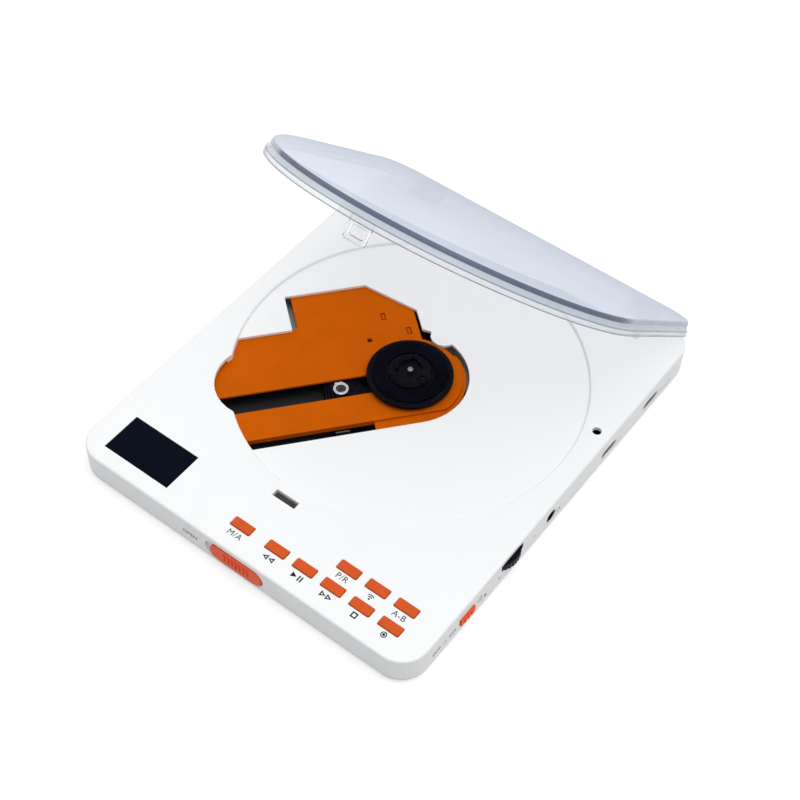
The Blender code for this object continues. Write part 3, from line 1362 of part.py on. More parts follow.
def make_wheel():
    """The volume wheel, fluted round its edge, on a control whose shaft stands in its bore."""
    flutes = []
    for count in range(2 * WHEEL_FLUTES):
        radius = WHEEL_RADIUS - (WHEEL_FLUTE_DEPTH if count % 2 else 0)
        angle = math.pi * count / WHEEL_FLUTES
        flutes.append((WHEEL_X + radius * math.cos(angle), WHEEL_Y + radius * math.sin(angle)))
    bore = arc(WHEEL_X, WHEEL_Y, WHEEL_BORE, 0, 360, SMALL_SEGMENTS)[:-1]
    bottom = WHEEL_TOP - WHEEL_THICKNESS
    wheel = extruded("volume_wheel", [flutes, bore], bottom, WHEEL_TOP)
    set_origin(wheel, (WHEEL_X, WHEEL_Y, bottom))
    finish_part(wheel, (0.02, 0.02, 0.025), 0.45)
    control = turned(
        "volume_control",
        [
            (0, WHEEL_TOP - GAP),
            (WHEEL_BORE - RUNNING_GAP, WHEEL_TOP - GAP),
            (WHEEL_BORE - RUNNING_GAP, bottom - GAP),
            (POT_RADIUS, bottom - GAP),
            (POT_RADIUS, BOARD_TOP + GAP),
            (0, BOARD_TOP + GAP),
        ],
        SEGMENTS,
        (WHEEL_X, WHEEL_Y),
    )
    finish_part(control, (0.35, 0.33, 0.30), 0.5, round_piece=True)


def make_switch():
    """The power and lock knob in its recess, and the switch it works."""
    outer = SIDE_X + KNOB_PROUD
    knob = box(
        "power_knob",
        (SIDE_X - KNOB_RECESS + GAP, KNOB_Y - KNOB_LENGTH / 2, KNOB_Z - KNOB_HEIGHT / 2),
        (outer, KNOB_Y + KNOB_LENGTH / 2, KNOB_Z + KNOB_HEIGHT / 2),
    )
    stem = box(
        "knob_stem",
        (INNER_SIDE_X - KNOB_STEM_HEIGHT, KNOB_Y - KNOB_STEM_LENGTH / 2, KNOB_Z - KNOB_STEM_HEIGHT / 2),
        (SIDE_X, KNOB_Y + KNOB_STEM_LENGTH / 2, KNOB_Z + KNOB_STEM_HEIGHT / 2),
    )
    fuse(knob, stem)
    for count in range(KNOB_RIBS):
        y = KNOB_Y + (count - (KNOB_RIBS - 1) / 2) * KNOB_RIB_PITCH
        rib = box(
            f"knob_rib_{count}",
            (SIDE_X, y - KNOB_RIB_WIDTH / 2, KNOB_Z - KNOB_HEIGHT / 3),
            (outer + KNOB_RIB_PROUD, y + KNOB_RIB_WIDTH / 2, KNOB_Z + KNOB_HEIGHT / 3),
        )
        fuse(knob, rib)
    set_origin(knob, (outer, KNOB_Y, KNOB_Z))
    finish_part(knob, (0.70, 0.10, 0.02), 0.4)
    right = INNER_SIDE_X - KNOB_STEM_HEIGHT - GAP
    middle = KNOB_Y + KNOB_TRAVEL / 2
    switch = box(
        "power_switch",
        (right - SWITCH_WIDTH, middle - SWITCH_LENGTH / 2, BOARD_TOP + GAP),
        (right, middle + SWITCH_LENGTH / 2, BOARD_TOP + GAP + SWITCH_HEIGHT),
    )
    finish_part(switch, (0.50, 0.50, 0.52), 0.35, 1.0)


def make_sockets():
    """Headphone jack, two flat sockets and the card reader behind the right-hand wall."""
    back = INNER_SIDE_X - GAP
    jack = box(
        "headphone_jack",
        (back - JACK_LENGTH, JACK_Y - JACK_WIDTH / 2, JACK_Z - JACK_HEIGHT / 2),
        (back, JACK_Y + JACK_WIDTH / 2, JACK_Z + JACK_HEIGHT / 2),
    )
    nose_end = SIDE_X - GAP
    nose = cylinder("jack_nose", (JACK_Y, JACK_Z), JACK_NOSE_RADIUS, back - GAP, nose_end, "X")
    bore = cylinder(
        "jack_bore", (JACK_Y, JACK_Z), JACK_BORE_RADIUS, nose_end - JACK_BORE_DEPTH, nose_end + OVERRUN, "X",
        SMALL_SEGMENTS,
    )
    fuse(jack, nose)
    cut(jack, bore)
    finish_part(jack, (0.03, 0.03, 0.03), 0.4)
    for name, y in (("charge_socket", CHARGE_SOCKET_Y), ("data_socket", DATA_SOCKET_Y)):
        outline = shifted(stadium(SOCKET_WIDTH / 2, SOCKET_HEIGHT / 2, CORNER_STEPS // 2), y, SOCKET_Z)
        shell = standing(name, [outline], nose_end - SOCKET_LENGTH, nose_end, "X")
        inner = SOCKET_HEIGHT / 2 - SOCKET_WALL
        outline = shifted(stadium(SOCKET_WIDTH / 2 - SOCKET_WALL, inner, CORNER_STEPS // 2), y, SOCKET_Z)
        start = nose_end - SOCKET_POCKET
        cut(shell, standing(name + "_pocket", [outline], start, nose_end + OVERRUN, "X"))
        tongue = box(
            name + "_tongue",
            (start - SOCKET_WALL, y - SOCKET_TONGUE_WIDTH / 2, SOCKET_Z - SOCKET_TONGUE_HEIGHT / 2),
            (start + SOCKET_TONGUE_LENGTH, y + SOCKET_TONGUE_WIDTH / 2, SOCKET_Z + SOCKET_TONGUE_HEIGHT / 2),
        )
        fuse(shell, tongue)
        finish_part(shell, (0.60, 0.60, 0.62), 0.3, 1.0)
    half = CARD_SLOT_WIDTH / 2
    reader = box(
        "card_reader",
        (back - CARD_READER_DEPTH, CARD_SLOT_Y - half - CARD_READER_MARGIN, BOARD_TOP + GAP),
        (back, CARD_SLOT_Y + half - CARD_READER_MARGIN, BOARD_TOP + GAP + CARD_READER_HEIGHT),
    )
    slot = box(
        "card_pocket",
        (back - CARD_READER_DEPTH / 2, CARD_SLOT_Y - half, CARD_SLOT_Z - CARD_SLOT_HEIGHT / 2),
        (back + OVERRUN, CARD_SLOT_Y + half - 2 * CARD_READER_MARGIN, CARD_SLOT_Z + CARD_SLOT_HEIGHT / 2),
    )
    cut(reader, slot)
    finish_part(reader, (0.55, 0.55, 0.57), 0.35, 1.0)


def make_boards():
    """The main board along the right side, the cell beside it, and the switch under the lid's pin."""
    outline = [
        (BOARD_LEFT, BOARD_FRONT),
        (BOARD_RIGHT, BOARD_FRONT),
        (BOARD_RIGHT, BOARD_BACK),
        (BOARD_WAIST_X, BOARD_BACK),
        (BOARD_WAIST_X, BOARD_WAIST_Y),
        (BOARD_LEFT, BOARD_WAIST_Y),
    ]
    board = extruded("main_board", [outline], BOARD_BOTTOM, BOARD_TOP)
    chip = box(
        "board_chip",
        (CHIP_X - CHIP_SIZE / 2, CHIP_Y - CHIP_SIZE / 2, BOARD_TOP - SLIVER),
        (CHIP_X + CHIP_SIZE / 2, CHIP_Y + CHIP_SIZE / 2, BOARD_TOP + CHIP_HEIGHT),
    )
    fuse(board, chip)
    finish_part(board, (0.05, 0.25, 0.10), 0.5)
    cell = box("battery_cell", (CELL_LEFT, CELL_FRONT, CELL_BOTTOM), (CELL_RIGHT, CELL_BACK, CELL_BOTTOM + CELL_HEIGHT))
    bevel_edges(cell, CELL_EDGE)
    finish_part(cell, (0.60, 0.62, 0.65), 0.35, 0.3)


def make_turntable():
    """Turntable with its disc seat, hub and spring claws, carried on the spindle."""
    table = turned(
        "turntable",
        [
            (HUB_RADIUS - HUB_CHAMFER, HUB_TOP),
            (HUB_RADIUS, HUB_TOP - HUB_CHAMFER),
            (HUB_RADIUS, TURNTABLE_TOP),
            (SEAT_INNER - RUNNING_GAP, TURNTABLE_TOP),
            (SEAT_INNER - RUNNING_GAP, TURNTABLE_TOP - SEAT_GROOVE),
            (SEAT_OUTER + RUNNING_GAP, TURNTABLE_TOP - SEAT_GROOVE),
            (SEAT_OUTER + RUNNING_GAP, TURNTABLE_TOP),
            (TURNTABLE_RADIUS - SEAT_GROOVE, TURNTABLE_TOP),
            (TURNTABLE_RADIUS, TURNTABLE_TOP - SEAT_GROOVE),
            (TURNTABLE_RADIUS, TURNTABLE_TOP - TURNTABLE_PLATE),
            (TURNTABLE_BOSS_RADIUS, TURNTABLE_TOP - TURNTABLE_PLATE),
            (TURNTABLE_BOSS_RADIUS, TURNTABLE_BOTTOM),
            (HUB_BORE, TURNTABLE_BOTTOM),
            (HUB_BORE, HUB_WELL_FLOOR),
            (HUB_WELL_RADIUS, HUB_WELL_FLOOR),
            (HUB_WELL_RADIUS, HUB_TOP),
        ],
        ROUND_SEGMENTS,
        parent=DRIVE,
    )
    for count in range(CLAW_COUNT):
        turn = Matrix.Rotation(2 * math.pi * count / CLAW_COUNT, 4, "Z")
        half = CLAW_WIDTH / 2 + SIDE_GAP
        notch = box(
            f"claw_notch_{count}",
            (CLAW_NOTCH_INNER, -half, CLAW_BOTTOM - SIDE_GAP),
            (HUB_RADIUS + OVERRUN, half, HUB_TOP + OVERRUN),
            DRIVE,
        )
        notch.data.transform(turn)
        cut(table, notch)
        half = CLAW_WIDTH / 2
        round_nose = arc(CLAW_OUTER - half, 0, half, -90, 90, CORNER_STEPS // 2)
        outline = [(CLAW_INNER, -half)] + round_nose + [(CLAW_INNER, half)]
        claw = extruded(f"disc_claw_{count + 1}", [outline], CLAW_BOTTOM, CLAW_TOP, DRIVE)
        claw.data.transform(turn)
        finish_part(claw, (0.03, 0.03, 0.035), 0.35)
    finish_part(table, (0.015, 0.015, 0.02), 0.4, round_piece=True)
    seat_bottom = TURNTABLE_TOP - SEAT_GROOVE + RUNNING_GAP
    seat = turned(
        "disc_seat",
        [
            (SEAT_INNER, SEAT_TOP),
            (SEAT_OUTER, SEAT_TOP),
            (SEAT_OUTER, seat_bottom),
            (SEAT_INNER, seat_bottom),
        ],
        ROUND_SEGMENTS,
        parent=DRIVE,
    )
    finish_part(seat, (0.03, 0.03, 0.03), 0.8, round_piece=True)
    shaft = turned(
        "spindle_shaft",
        [
            (0, SHAFT_TOP),
            (SHAFT_RADIUS - SHAFT_TIP, SHAFT_TOP),
            (SHAFT_RADIUS, SHAFT_TOP - SHAFT_TIP),
            (SHAFT_RADIUS, SHAFT_BOTTOM),
            (0, SHAFT_BOTTOM),
        ],
        SMALL_SEGMENTS,
        parent=DRIVE,
    )
    finish_part(shaft, (0.75, 0.75, 0.77), 0.2, 1.0, round_piece=True)
    motor = turned(
        "spindle_motor",
        [
            (HUB_BORE, MOTOR_TOP),
            (MOTOR_NECK_RADIUS, MOTOR_TOP),
            (MOTOR_NECK_RADIUS, MOTOR_SHOULDER),
            (MOTOR_RADIUS, MOTOR_SHOULDER),
            (MOTOR_RADIUS, MOTOR_BOTTOM),
            (HUB_BORE, MOTOR_BOTTOM),
        ],
        SEGMENTS,
        parent=DRIVE,
    )
    finish_part(motor, (0.55, 0.56, 0.58), 0.35, 1.0, round_piece=True)


def make_cover():
    """The stepped cover over the drive: slot, turntable's hole, tool hole and two sunk marks."""
    cover = extruded(
        "drive_cover", [cover_outline(COVER_EDGE_Y, COVER_RING)], COVER_UNDERSIDE, COVER_TOP, DRIVE
    )
    step_top = COVER_TOP - COVER_STEP_DROP
    step = [(COVER_STEP_X, COVER_STEP_Y), (COVER_STEP_X, 0)]
    step += [(0, 0)]
    step += arc(0, 0, COVER_STEP_RING, 202, 180 - math.degrees(math.asin(COVER_STEP_Y / COVER_STEP_RING)), OPENING_STEPS)
    fuse(cover, extruded("cover_step", [step], step_top - COVER_PLATE, step_top, DRIVE))
    skirt = box(
        "cover_skirt",
        (COVER_STEP_X - COVER_SKIRT_WALL, COVER_EDGE_Y - COVER_SKIRT_WALL, COVER_TOP - COVER_SKIRT),
        (COVER_END - COVER_SKIRT_WALL, COVER_EDGE_Y - SLIVER, COVER_TOP - SLIVER),
        DRIVE,
    )
    shelf_skirt = box(
        "shelf_skirt",
        (COVER_SHELF_X - COVER_SKIRT_WALL, SLIVER - COVER_FAR, COVER_TOP - COVER_SKIRT),
        (COVER_SHELF_X - SLIVER, -COVER_SHELF_Y, COVER_TOP - SLIVER),
        DRIVE,
    )
    fuse(cover, skirt, shelf_skirt)
    half = TOOL_HOLE_SIZE / 2
    cut(
        cover,
        cylinder("cover_hole", (0, 0), COVER_HOLE, 0, COVER_TOP + OVERRUN, segments=ROUND_SEGMENTS, parent=DRIVE),
        box("pickup_slot", (0, -SLOT_FAR, 0), (SLOT_END, SLOT_NEAR, COVER_TOP + OVERRUN), DRIVE),
        box(
            "tool_hole",
            (TOOL_HOLE_X - half, -TOOL_HOLE_Y - half, 0),
            (TOOL_HOLE_X + half, half - TOOL_HOLE_Y, COVER_TOP + OVERRUN),
            DRIVE,
        ),
    )
    for name, x, y in (("far_mark", FAR_MARK_X, -FAR_MARK_Y), ("near_mark", -NEAR_MARK_X, -NEAR_MARK_Y)):
        low = (x - MARK_WIDTH / 2, y - MARK_LENGTH / 2, COVER_TOP - MARK_DEPTH)
        cut(cover, box(name, low, (x + MARK_WIDTH / 2, y + MARK_LENGTH / 2, COVER_TOP + OVERRUN), DRIVE))
    finish_part(cover, (0.62, 0.13, 0.0), 0.45)


def make_chassis():
    """The drive's steel plate with its motor, rod carriers and pillars, on four rubber dampers."""
    meet = math.degrees(math.asin(CHASSIS_NEAR / CHASSIS_RING))
    outline = [
        (CHASSIS_SHELF_X, -CHASSIS_SHELF_Y),
        (CHASSIS_SHELF_X, -CHASSIS_FAR),
        (CHASSIS_FAR_X, -CHASSIS_FAR),
        (CHASSIS_WAIST_X, -CHASSIS_WAIST_Y),
    ]
    outline += arc(0, 0, CHASSIS_RING, 225, 180 - meet, OPENING_STEPS)
    outline += [
        (CHASSIS_TAB_X, CHASSIS_NEAR),
        (CHASSIS_TAB_X, CHASSIS_TAB_Y),
        (CHASSIS_END, CHASSIS_TAB_Y),
        (CHASSIS_END, -CHASSIS_SHELF_Y),
    ]
    radius = SLED_MOTOR_RADIUS + GAP
    bay = shifted(
        [
            (SLED_MOTOR_START - GAP, -radius),
            (SLED_MOTOR_END + GAP, -radius),
            (SLED_MOTOR_END + GAP, radius),
            (SLED_MOTOR_START - GAP, radius),
        ],
        0,
        LEAD_Y,
    )
    loops = [outline, bay]
    for x, y in damper_places():
        loops.append(arc(x, y, DAMPER_NECK + GAP, 0, 360, SMALL_SEGMENTS)[:-1])
    chassis = extruded("drive_chassis", loops, CHASSIS_BOTTOM, CHASSIS_TOP, DRIVE)
    base = CHASSIS_TOP - SLIVER
    for count, (x, y) in enumerate(pillar_places()):
        fuse(
            chassis,
            cylinder(f"pillar_{count}", (x, y), PILLAR_RADIUS, base, COVER_UNDERSIDE - GAP,
                     segments=SMALL_SEGMENTS, parent=DRIVE),
        )
    for name, y, z, radius in (("rod", ROD_Y, ROD_Z, ROD_RADIUS), ("lead", LEAD_Y, LEAD_Z, LEAD_RADIUS)):
        start = ROD_START if name == "rod" else LEAD_START
        ends = [ROD_END - ROD_BLOCK]
        if name == "rod":
            ends.append(start - GAP)
        for count, x in enumerate(ends):
            half = radius + ROD_BLOCK / 4
            fuse(
                chassis,
                box(
                    f"{name}_block_{count}",
                    (x, y - half, base),
                    (x + ROD_BLOCK, y + half, z + half),
                    DRIVE,
                ),
            )
        hole = radius + RUNNING_GAP
        far = ROD_END - ROD_BLOCK / 3
        cut(chassis, cylinder(f"{name}_hole", (y, z), hole, start - GAP, far, "X", SMALL_SEGMENTS, DRIVE))
    finish_part(chassis, (0.55, 0.56, 0.58), 0.35, 1.0)
    for count, (x, y) in enumerate(damper_places(), 1):
        damper = turned(
            f"damper_{count}",
            [
                (DAMPER_BORE, DAMPER_TOP),
                (DAMPER_RADIUS, DAMPER_TOP),
                (DAMPER_RADIUS, CHASSIS_TOP + GAP),
                (DAMPER_NECK, CHASSIS_TOP + GAP),
                (DAMPER_NECK, CHASSIS_BOTTOM - GAP),
                (DAMPER_RADIUS, CHASSIS_BOTTOM - GAP),
                (DAMPER_RADIUS, DAMPER_BOTTOM),
                (DAMPER_BORE, DAMPER_BOTTOM),
            ],
            SMALL_SEGMENTS,
            (x, y),
            DRIVE,
        )
        finish_part(damper, (0.05, 0.05, 0.05), 0.85, round_piece=True)


def pillar_places():
    inner = PILLAR_RADIUS + GAP
    return [
        (CHASSIS_SHELF_X - inner, -CHASSIS_FAR + inner),
        (CHASSIS_END - ROD_BLOCK, -CHASSIS_SHELF_Y / 2 - ROD_BLOCK),
        (CHASSIS_FAR_X - inner - ROD_BLOCK, -CHASSIS_WAIST_Y - inner),
    ]


def make_sled():
    """The pickup: sled, lens and the rod, lead screw and motor that carry and drive it."""
    sled = box("pickup_sled", (SLED_START, -SLED_FAR, SLED_BOTTOM), (SLED_END, SLED_NEAR, SLED_TOP), DRIVE)
    tower = box(
        "sled_tower",
        (TOWER_START, -TOWER_HALF_WIDTH, SLED_TOP - SLIVER),
        (TOWER_END, TOWER_HALF_WIDTH, TOWER_TOP),
        DRIVE,
    )
    bush = cylinder(
        "rod_bush", (ROD_Y, ROD_Z), ROD_BUSH_RADIUS, SLED_START + SLIVER, SLED_END - SLIVER, "X", parent=DRIVE
    )
    outrigger = box(
        "sled_outrigger",
        (OUTRIGGER_START, SLED_NEAR - ROD_BLOCK, SLED_BOTTOM + SLIVER),
        (OUTRIGGER_END, OUTRIGGER_REACH, OUTRIGGER_TOP),
        DRIVE,
    )
    fuse(sled, tower, bush, outrigger)
    rod_bore = ROD_RADIUS + SLED_BORE_GAP
    lead_bore = LEAD_RADIUS + SLED_BORE_GAP
    ends = (SLED_START - OVERRUN, SLED_END + OVERRUN)
    cut(
        sled,
        cylinder("sled_rod_bore", (ROD_Y, ROD_Z), rod_bore, *ends, "X", SMALL_SEGMENTS, DRIVE),
        cylinder("sled_lead_bore", (LEAD_Y, LEAD_Z), lead_bore, *ends, "X", SMALL_SEGMENTS, DRIVE),
    )
    finish_part(sled, (0.02, 0.02, 0.025), 0.5)
    clip = box(
        "rack_clip",
        (CLIP_START, CLIP_Y, OUTRIGGER_TOP + GAP),
        (CLIP_END, CLIP_Y + CLIP_THICKNESS, OUTRIGGER_TOP + GAP + CLIP_HEIGHT),
        DRIVE,
    )
    finish_part(clip, (0.75, 0.76, 0.78), 0.25, 1.0)
    holder = box(
        "lens_holder",
        (LENS_X - HOLDER_LENGTH / 2, -HOLDER_WIDTH / 2, HOLDER_BOTTOM),
        (LENS_X + HOLDER_LENGTH / 2, HOLDER_WIDTH / 2, HOLDER_TOP),
        DRIVE,
    )
    ring = cylinder(
        "lens_ring", (LENS_X, 0), LENS_RING_RADIUS, HOLDER_BOTTOM + SLIVER, LENS_RING_TOP, parent=DRIVE
    )
    seat = cylinder(
        "lens_seat", (LENS_X, 0), LENS_RADIUS + RUNNING_GAP, LENS_BASE - LENS_SEAT, LENS_RING_TOP + OVERRUN,
        parent=DRIVE,
    )
    fuse(holder, ring)
    cut(holder, seat)
    finish_part(holder, (0.05, 0.05, 0.055), 0.4)
    rise = LENS_DOME
    lens = turned(
        "lens",
        [
            (0, LENS_BASE + 2 * rise),
            (LENS_RADIUS / 2, LENS_BASE + 1.8 * rise),
            (LENS_RADIUS * 0.85, LENS_BASE + 1.3 * rise),
            (LENS_RADIUS, LENS_BASE + rise),
            (LENS_RADIUS, LENS_BASE),
            (0, LENS_BASE),
        ],
        SEGMENTS,
        (LENS_X, 0),
        DRIVE,
    )
    finish_part(lens, (0.25, 0.30, 0.45), 0.05, alpha=0.6, round_piece=True)
    rod = cylinder("guide_rod", (ROD_Y, ROD_Z), ROD_RADIUS, ROD_START, ROD_END - ROD_BLOCK / 2, "X", SMALL_SEGMENTS, DRIVE)
    finish_part(rod, (0.70, 0.71, 0.73), 0.2, 1.0, round_piece=True)
    lead = cylinder("lead_screw", (0, 0), LEAD_RADIUS, LEAD_START, ROD_END - ROD_BLOCK / 2, "X", SMALL_SEGMENTS, DRIVE)
    lead.location = (0, LEAD_Y, LEAD_Z)
    finish_part(lead, (0.70, 0.71, 0.73), 0.25, 1.0, round_piece=True)
    motor = cylinder("sled_motor", (LEAD_Y, LEAD_Z), SLED_MOTOR_RADIUS, SLED_MOTOR_START, SLED_MOTOR_END, "X", parent=DRIVE)
    finish_part(motor, (0.55, 0.56, 0.58), 0.35, 1.0, round_piece=True)


def make_lid_switch():
    """A small upright switch below the lid's pin, with its plunger."""
    plunger_top = HINGE_HEIGHT + SENSOR_PIN_TIP - GAP
    body_top = plunger_top - SENSOR_PIN_RADIUS
    socket_top = SOCKET_Z + SOCKET_HEIGHT / 2
    post_right = SIDE_X - SOCKET_LENGTH - 2 * GAP
    half = LID_SWITCH_WIDTH / 2
    body = box(
        "lid_switch",
        (post_right - LID_SWITCH_POST, SENSOR_Y - half, BOARD_TOP + GAP),
        (post_right, SENSOR_Y + half, body_top - SLIVER),
    )
    head = box(
        "switch_head",
        (post_right - LID_SWITCH_POST + SLIVER, SENSOR_Y - half + SLIVER, socket_top + GAP),
        (SENSOR_X + SENSOR_HOLE_RADIUS, SENSOR_Y + half - SLIVER, body_top),
    )
    fuse(body, head)
    bore_floor = socket_top + 2 * GAP
    cut(
        body,
        cylinder(
            "plunger_bore", (SENSOR_X, SENSOR_Y), SENSOR_PIN_RADIUS + RUNNING_GAP, bore_floor, body_top + OVERRUN,
            segments=SMALL_SEGMENTS,
        ),
    )
    finish_part(body, (0.02, 0.02, 0.02), 0.5)
    plunger = cylinder(
        "lid_plunger", (SENSOR_X, SENSOR_Y), SENSOR_PIN_RADIUS, bore_floor + LID_PLUNGER_TRAVEL + GAP, plunger_top,
        segments=SMALL_SEGMENTS,
    )
    finish_part(plunger, (0.25, 0.25, 0.26), 0.4)


def new_empty(name, location, rotation):
    empty = bpy.data.objects.new(name, None)
    CUTTERS.objects.link(empty)
    empty.location = location
    empty.rotation_euler = rotation
    return empty


for old in list(bpy.data.objects):
    bpy.data.objects.remove(old)
PARTS = new_collection("disc_player")
CUTTERS = new_collection("cutters")
DRIVE = new_empty("drive_frame", (0, WELL_Y, 0), (0, 0, PICKUP_HEADING))
LID_FRAME = new_empty("lid_hinge", (0, HINGE_Y, HINGE_HEIGHT), (-OPEN_ANGLE, 0, 0))

make_top_case()
make_bottom_case()
make_lid()
make_hinge_pins()
make_fasteners()
make_display()
make_keys()
make_slider()
make_catch()
make_wheel()
make_switch()
make_sockets()
make_boards()
make_lid_switch()
make_turntable()
make_cover()
make_chassis()
make_sled()
bpy.context.view_layer.update()
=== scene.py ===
import math

import bmesh
import bpy
from mathutils import Matrix, Vector


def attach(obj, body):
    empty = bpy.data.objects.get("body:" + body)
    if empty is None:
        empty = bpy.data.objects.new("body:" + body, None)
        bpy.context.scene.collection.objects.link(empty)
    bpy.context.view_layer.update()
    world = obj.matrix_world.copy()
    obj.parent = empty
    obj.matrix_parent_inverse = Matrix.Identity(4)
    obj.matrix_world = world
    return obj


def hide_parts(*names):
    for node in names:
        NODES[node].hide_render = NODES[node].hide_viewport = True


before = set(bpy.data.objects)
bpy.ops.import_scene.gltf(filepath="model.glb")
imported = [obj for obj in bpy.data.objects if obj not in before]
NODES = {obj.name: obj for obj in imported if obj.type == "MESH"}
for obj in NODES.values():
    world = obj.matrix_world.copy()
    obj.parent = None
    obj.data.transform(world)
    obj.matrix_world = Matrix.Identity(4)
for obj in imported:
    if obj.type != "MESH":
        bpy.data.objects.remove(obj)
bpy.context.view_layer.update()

MM = 0.001
X, Y, Z = 0, 1, 2


def edge_of(name, axis, pick):
    """The lowest or highest place of a node along one axis, in metres."""
    return pick((NODES[name].matrix_world @ Vector(corner))[axis] for corner in NODES[name].bound_box)


# Places on the case, in metres
DECK = edge_of("top_case", Z, max)
SIDE = edge_of("top_case", X, max)
FRONT = edge_of("top_case", Y, min)
FLOOR_Z = min(edge_of(name, Z, min) for name in NODES)
INK_HEIGHT = 0.03 * MM
SHARP_ANGLE = math.radians(32)

# The open lid's hinge
OPEN_ANGLE = math.radians(42.9)
HINGE_Y = 81.7 * MM
HINGE_Z = 9.5 * MM
LID_PLACE = Matrix.Translation((0, HINGE_Y, HINGE_Z)) @ Matrix.Rotation(-OPEN_ANGLE, 4, "X")

# How tint, gloss and grain drift across a surface: noise scales, shares of a value, and depths
COLOUR_DETAIL = 4
GRAIN_DETAIL = 2
GLOSS_PATCHES = 6
GLOSS_DRIFT = 0.12
GRAIN_STRENGTH = 0.35
STREAK_DARK_SHARE = 0.82
STREAK_STRENGTH = 0.2
STREAK_DEPTH = 0.003 * MM
CLEAR_PATCH = 30
CLEAR_GLOSS_PATCH = 120
CLEAR_LIGHT_SHARE = 1.015
CLEAR_WAVE_SCALE = 60
CLEAR_WAVE_STRENGTH = 0.05
CLEAR_WAVE_DEPTH = 0.02 * MM
CLEAR_IOR = 1.49
TINT_PATCH = 35
TINT_GLOSS_PATCH = 160
TINT_DARK_SHARE = 0.97
FACE_ON_UNTIL, EDGE_ON_FROM = 0.2, 0.68


# Material parts
def shader_of(name):
    material = bpy.data.materials.new(name)
    material.use_nodes = True
    tree = material.node_tree
    return material, tree, tree.nodes["Principled BSDF"]


def own_places(tree):
    return tree.nodes.new("ShaderNodeTexCoord").outputs["Object"]


def noise(tree, scale, detail=3.0, stretch=(1, 1, 1)):
    mapping = tree.nodes.new("ShaderNodeMapping")
    mapping.inputs["Scale"].default_value = stretch
    texture = tree.nodes.new("ShaderNodeTexNoise")
    texture.inputs["Scale"].default_value = scale
    texture.inputs["Detail"].default_value = detail
    tree.links.new(own_places(tree), mapping.inputs["Vector"])
    tree.links.new(mapping.outputs["Vector"], texture.inputs["Vector"])
    return texture.outputs["Fac"]


def ramp(tree, factor, low, high, low_at=0.3, high_at=0.7):
    node = tree.nodes.new("ShaderNodeValToRGB")
    node.color_ramp.elements[0].position = low_at
    node.color_ramp.elements[0].color = (*low, 1)
    node.color_ramp.elements[1].position = high_at
    node.color_ramp.elements[1].color = (*high, 1)
    tree.links.new(factor, node.inputs["Fac"])
    return node.outputs["Color"]


def grey(value):
    return (value, value, value)


def scaled(colour, share):
    return tuple(min(channel * share, 1) for channel in colour)


def uneven_gloss(tree, shader, factor, roughness, less, more):
    """Roughness that wanders between two shares of its own value."""
    gloss = ramp(tree, factor, grey(roughness * less), grey(min(roughness * more, 1)))
    tree.links.new(gloss, shader.inputs["Roughness"])


def bump(tree, shader, height, strength, distance):
    node = tree.nodes.new("ShaderNodeBump")
    node.inputs["Strength"].default_value = strength
    node.inputs["Distance"].default_value = distance
    tree.links.new(height, node.inputs["Height"])
    tree.links.new(node.outputs["Normal"], shader.inputs["Normal"])


def combined(tree, operation, first, second):
    node = tree.nodes.new("ShaderNodeMath")
    node.operation = operation
    tree.links.new(first, node.inputs[0])
    tree.links.new(second, node.inputs[1])
    return node.outputs[0]


def smooth_mask(tree, value, low, high):
    """0 to 1 between two values in millimetres."""
    mask = tree.nodes.new("ShaderNodeMapRange")
    mask.interpolation_type = "SMOOTHSTEP"
    mask.inputs["From Min"].default_value = low * MM
    mask.inputs["From Max"].default_value = high * MM
    tree.links.new(value, mask.inputs["Value"])
    return mask.outputs["Result"]


def axis_mask(tree, axis, low, high):
    """0 to 1 between two places along one of the object's own axes."""
    apart = tree.nodes.new("ShaderNodeSeparateXYZ")
    tree.links.new(own_places(tree), apart.inputs[0])
    return smooth_mask(tree, apart.outputs[axis], low, high)


# Kinds of material
def moulded(name, colour, spread=0.03, roughness=0.42, grain=2600, depth=0.004, patch=45, metallic=0.0,
            shine=0.5, alpha=1.0):
    """Moulded plastic or rubber: slight colour drift, uneven gloss and a fine surface grain."""
    material, tree, shader = shader_of(name)
    patches = noise(tree, patch, COLOUR_DETAIL)
    drift = ramp(tree, patches, scaled(colour, 1 - spread), scaled(colour, 1 + spread))
    tree.links.new(drift, shader.inputs["Base Color"])
    small_patches = noise(tree, patch * GLOSS_PATCHES)
    uneven_gloss(tree, shader, small_patches, roughness, less=1 - GLOSS_DRIFT, more=1 + GLOSS_DRIFT)
    shader.inputs["Metallic"].default_value = metallic
    shader.inputs["Specular IOR Level"].default_value = shine
    shader.inputs["Alpha"].default_value = alpha
    bump(tree, shader, noise(tree, grain, GRAIN_DETAIL), GRAIN_STRENGTH, depth * MM)
    return material


def brushed(name, colour, roughness, stretch=(1, 1, 1), grain=900):
    """Metal with a drawn or rolled grain."""
    material, tree, shader = shader_of(name)
    streaks = noise(tree, grain, COLOUR_DETAIL, stretch)
    dark = scaled(colour, STREAK_DARK_SHARE)
    tree.links.new(ramp(tree, streaks, dark, colour), shader.inputs["Base Color"])
    uneven_gloss(tree, shader, streaks, roughness, less=0.8, more=1.25)
    shader.inputs["Metallic"].default_value = 1.0
    bump(tree, shader, streaks, STREAK_STRENGTH, STREAK_DEPTH)
    return material


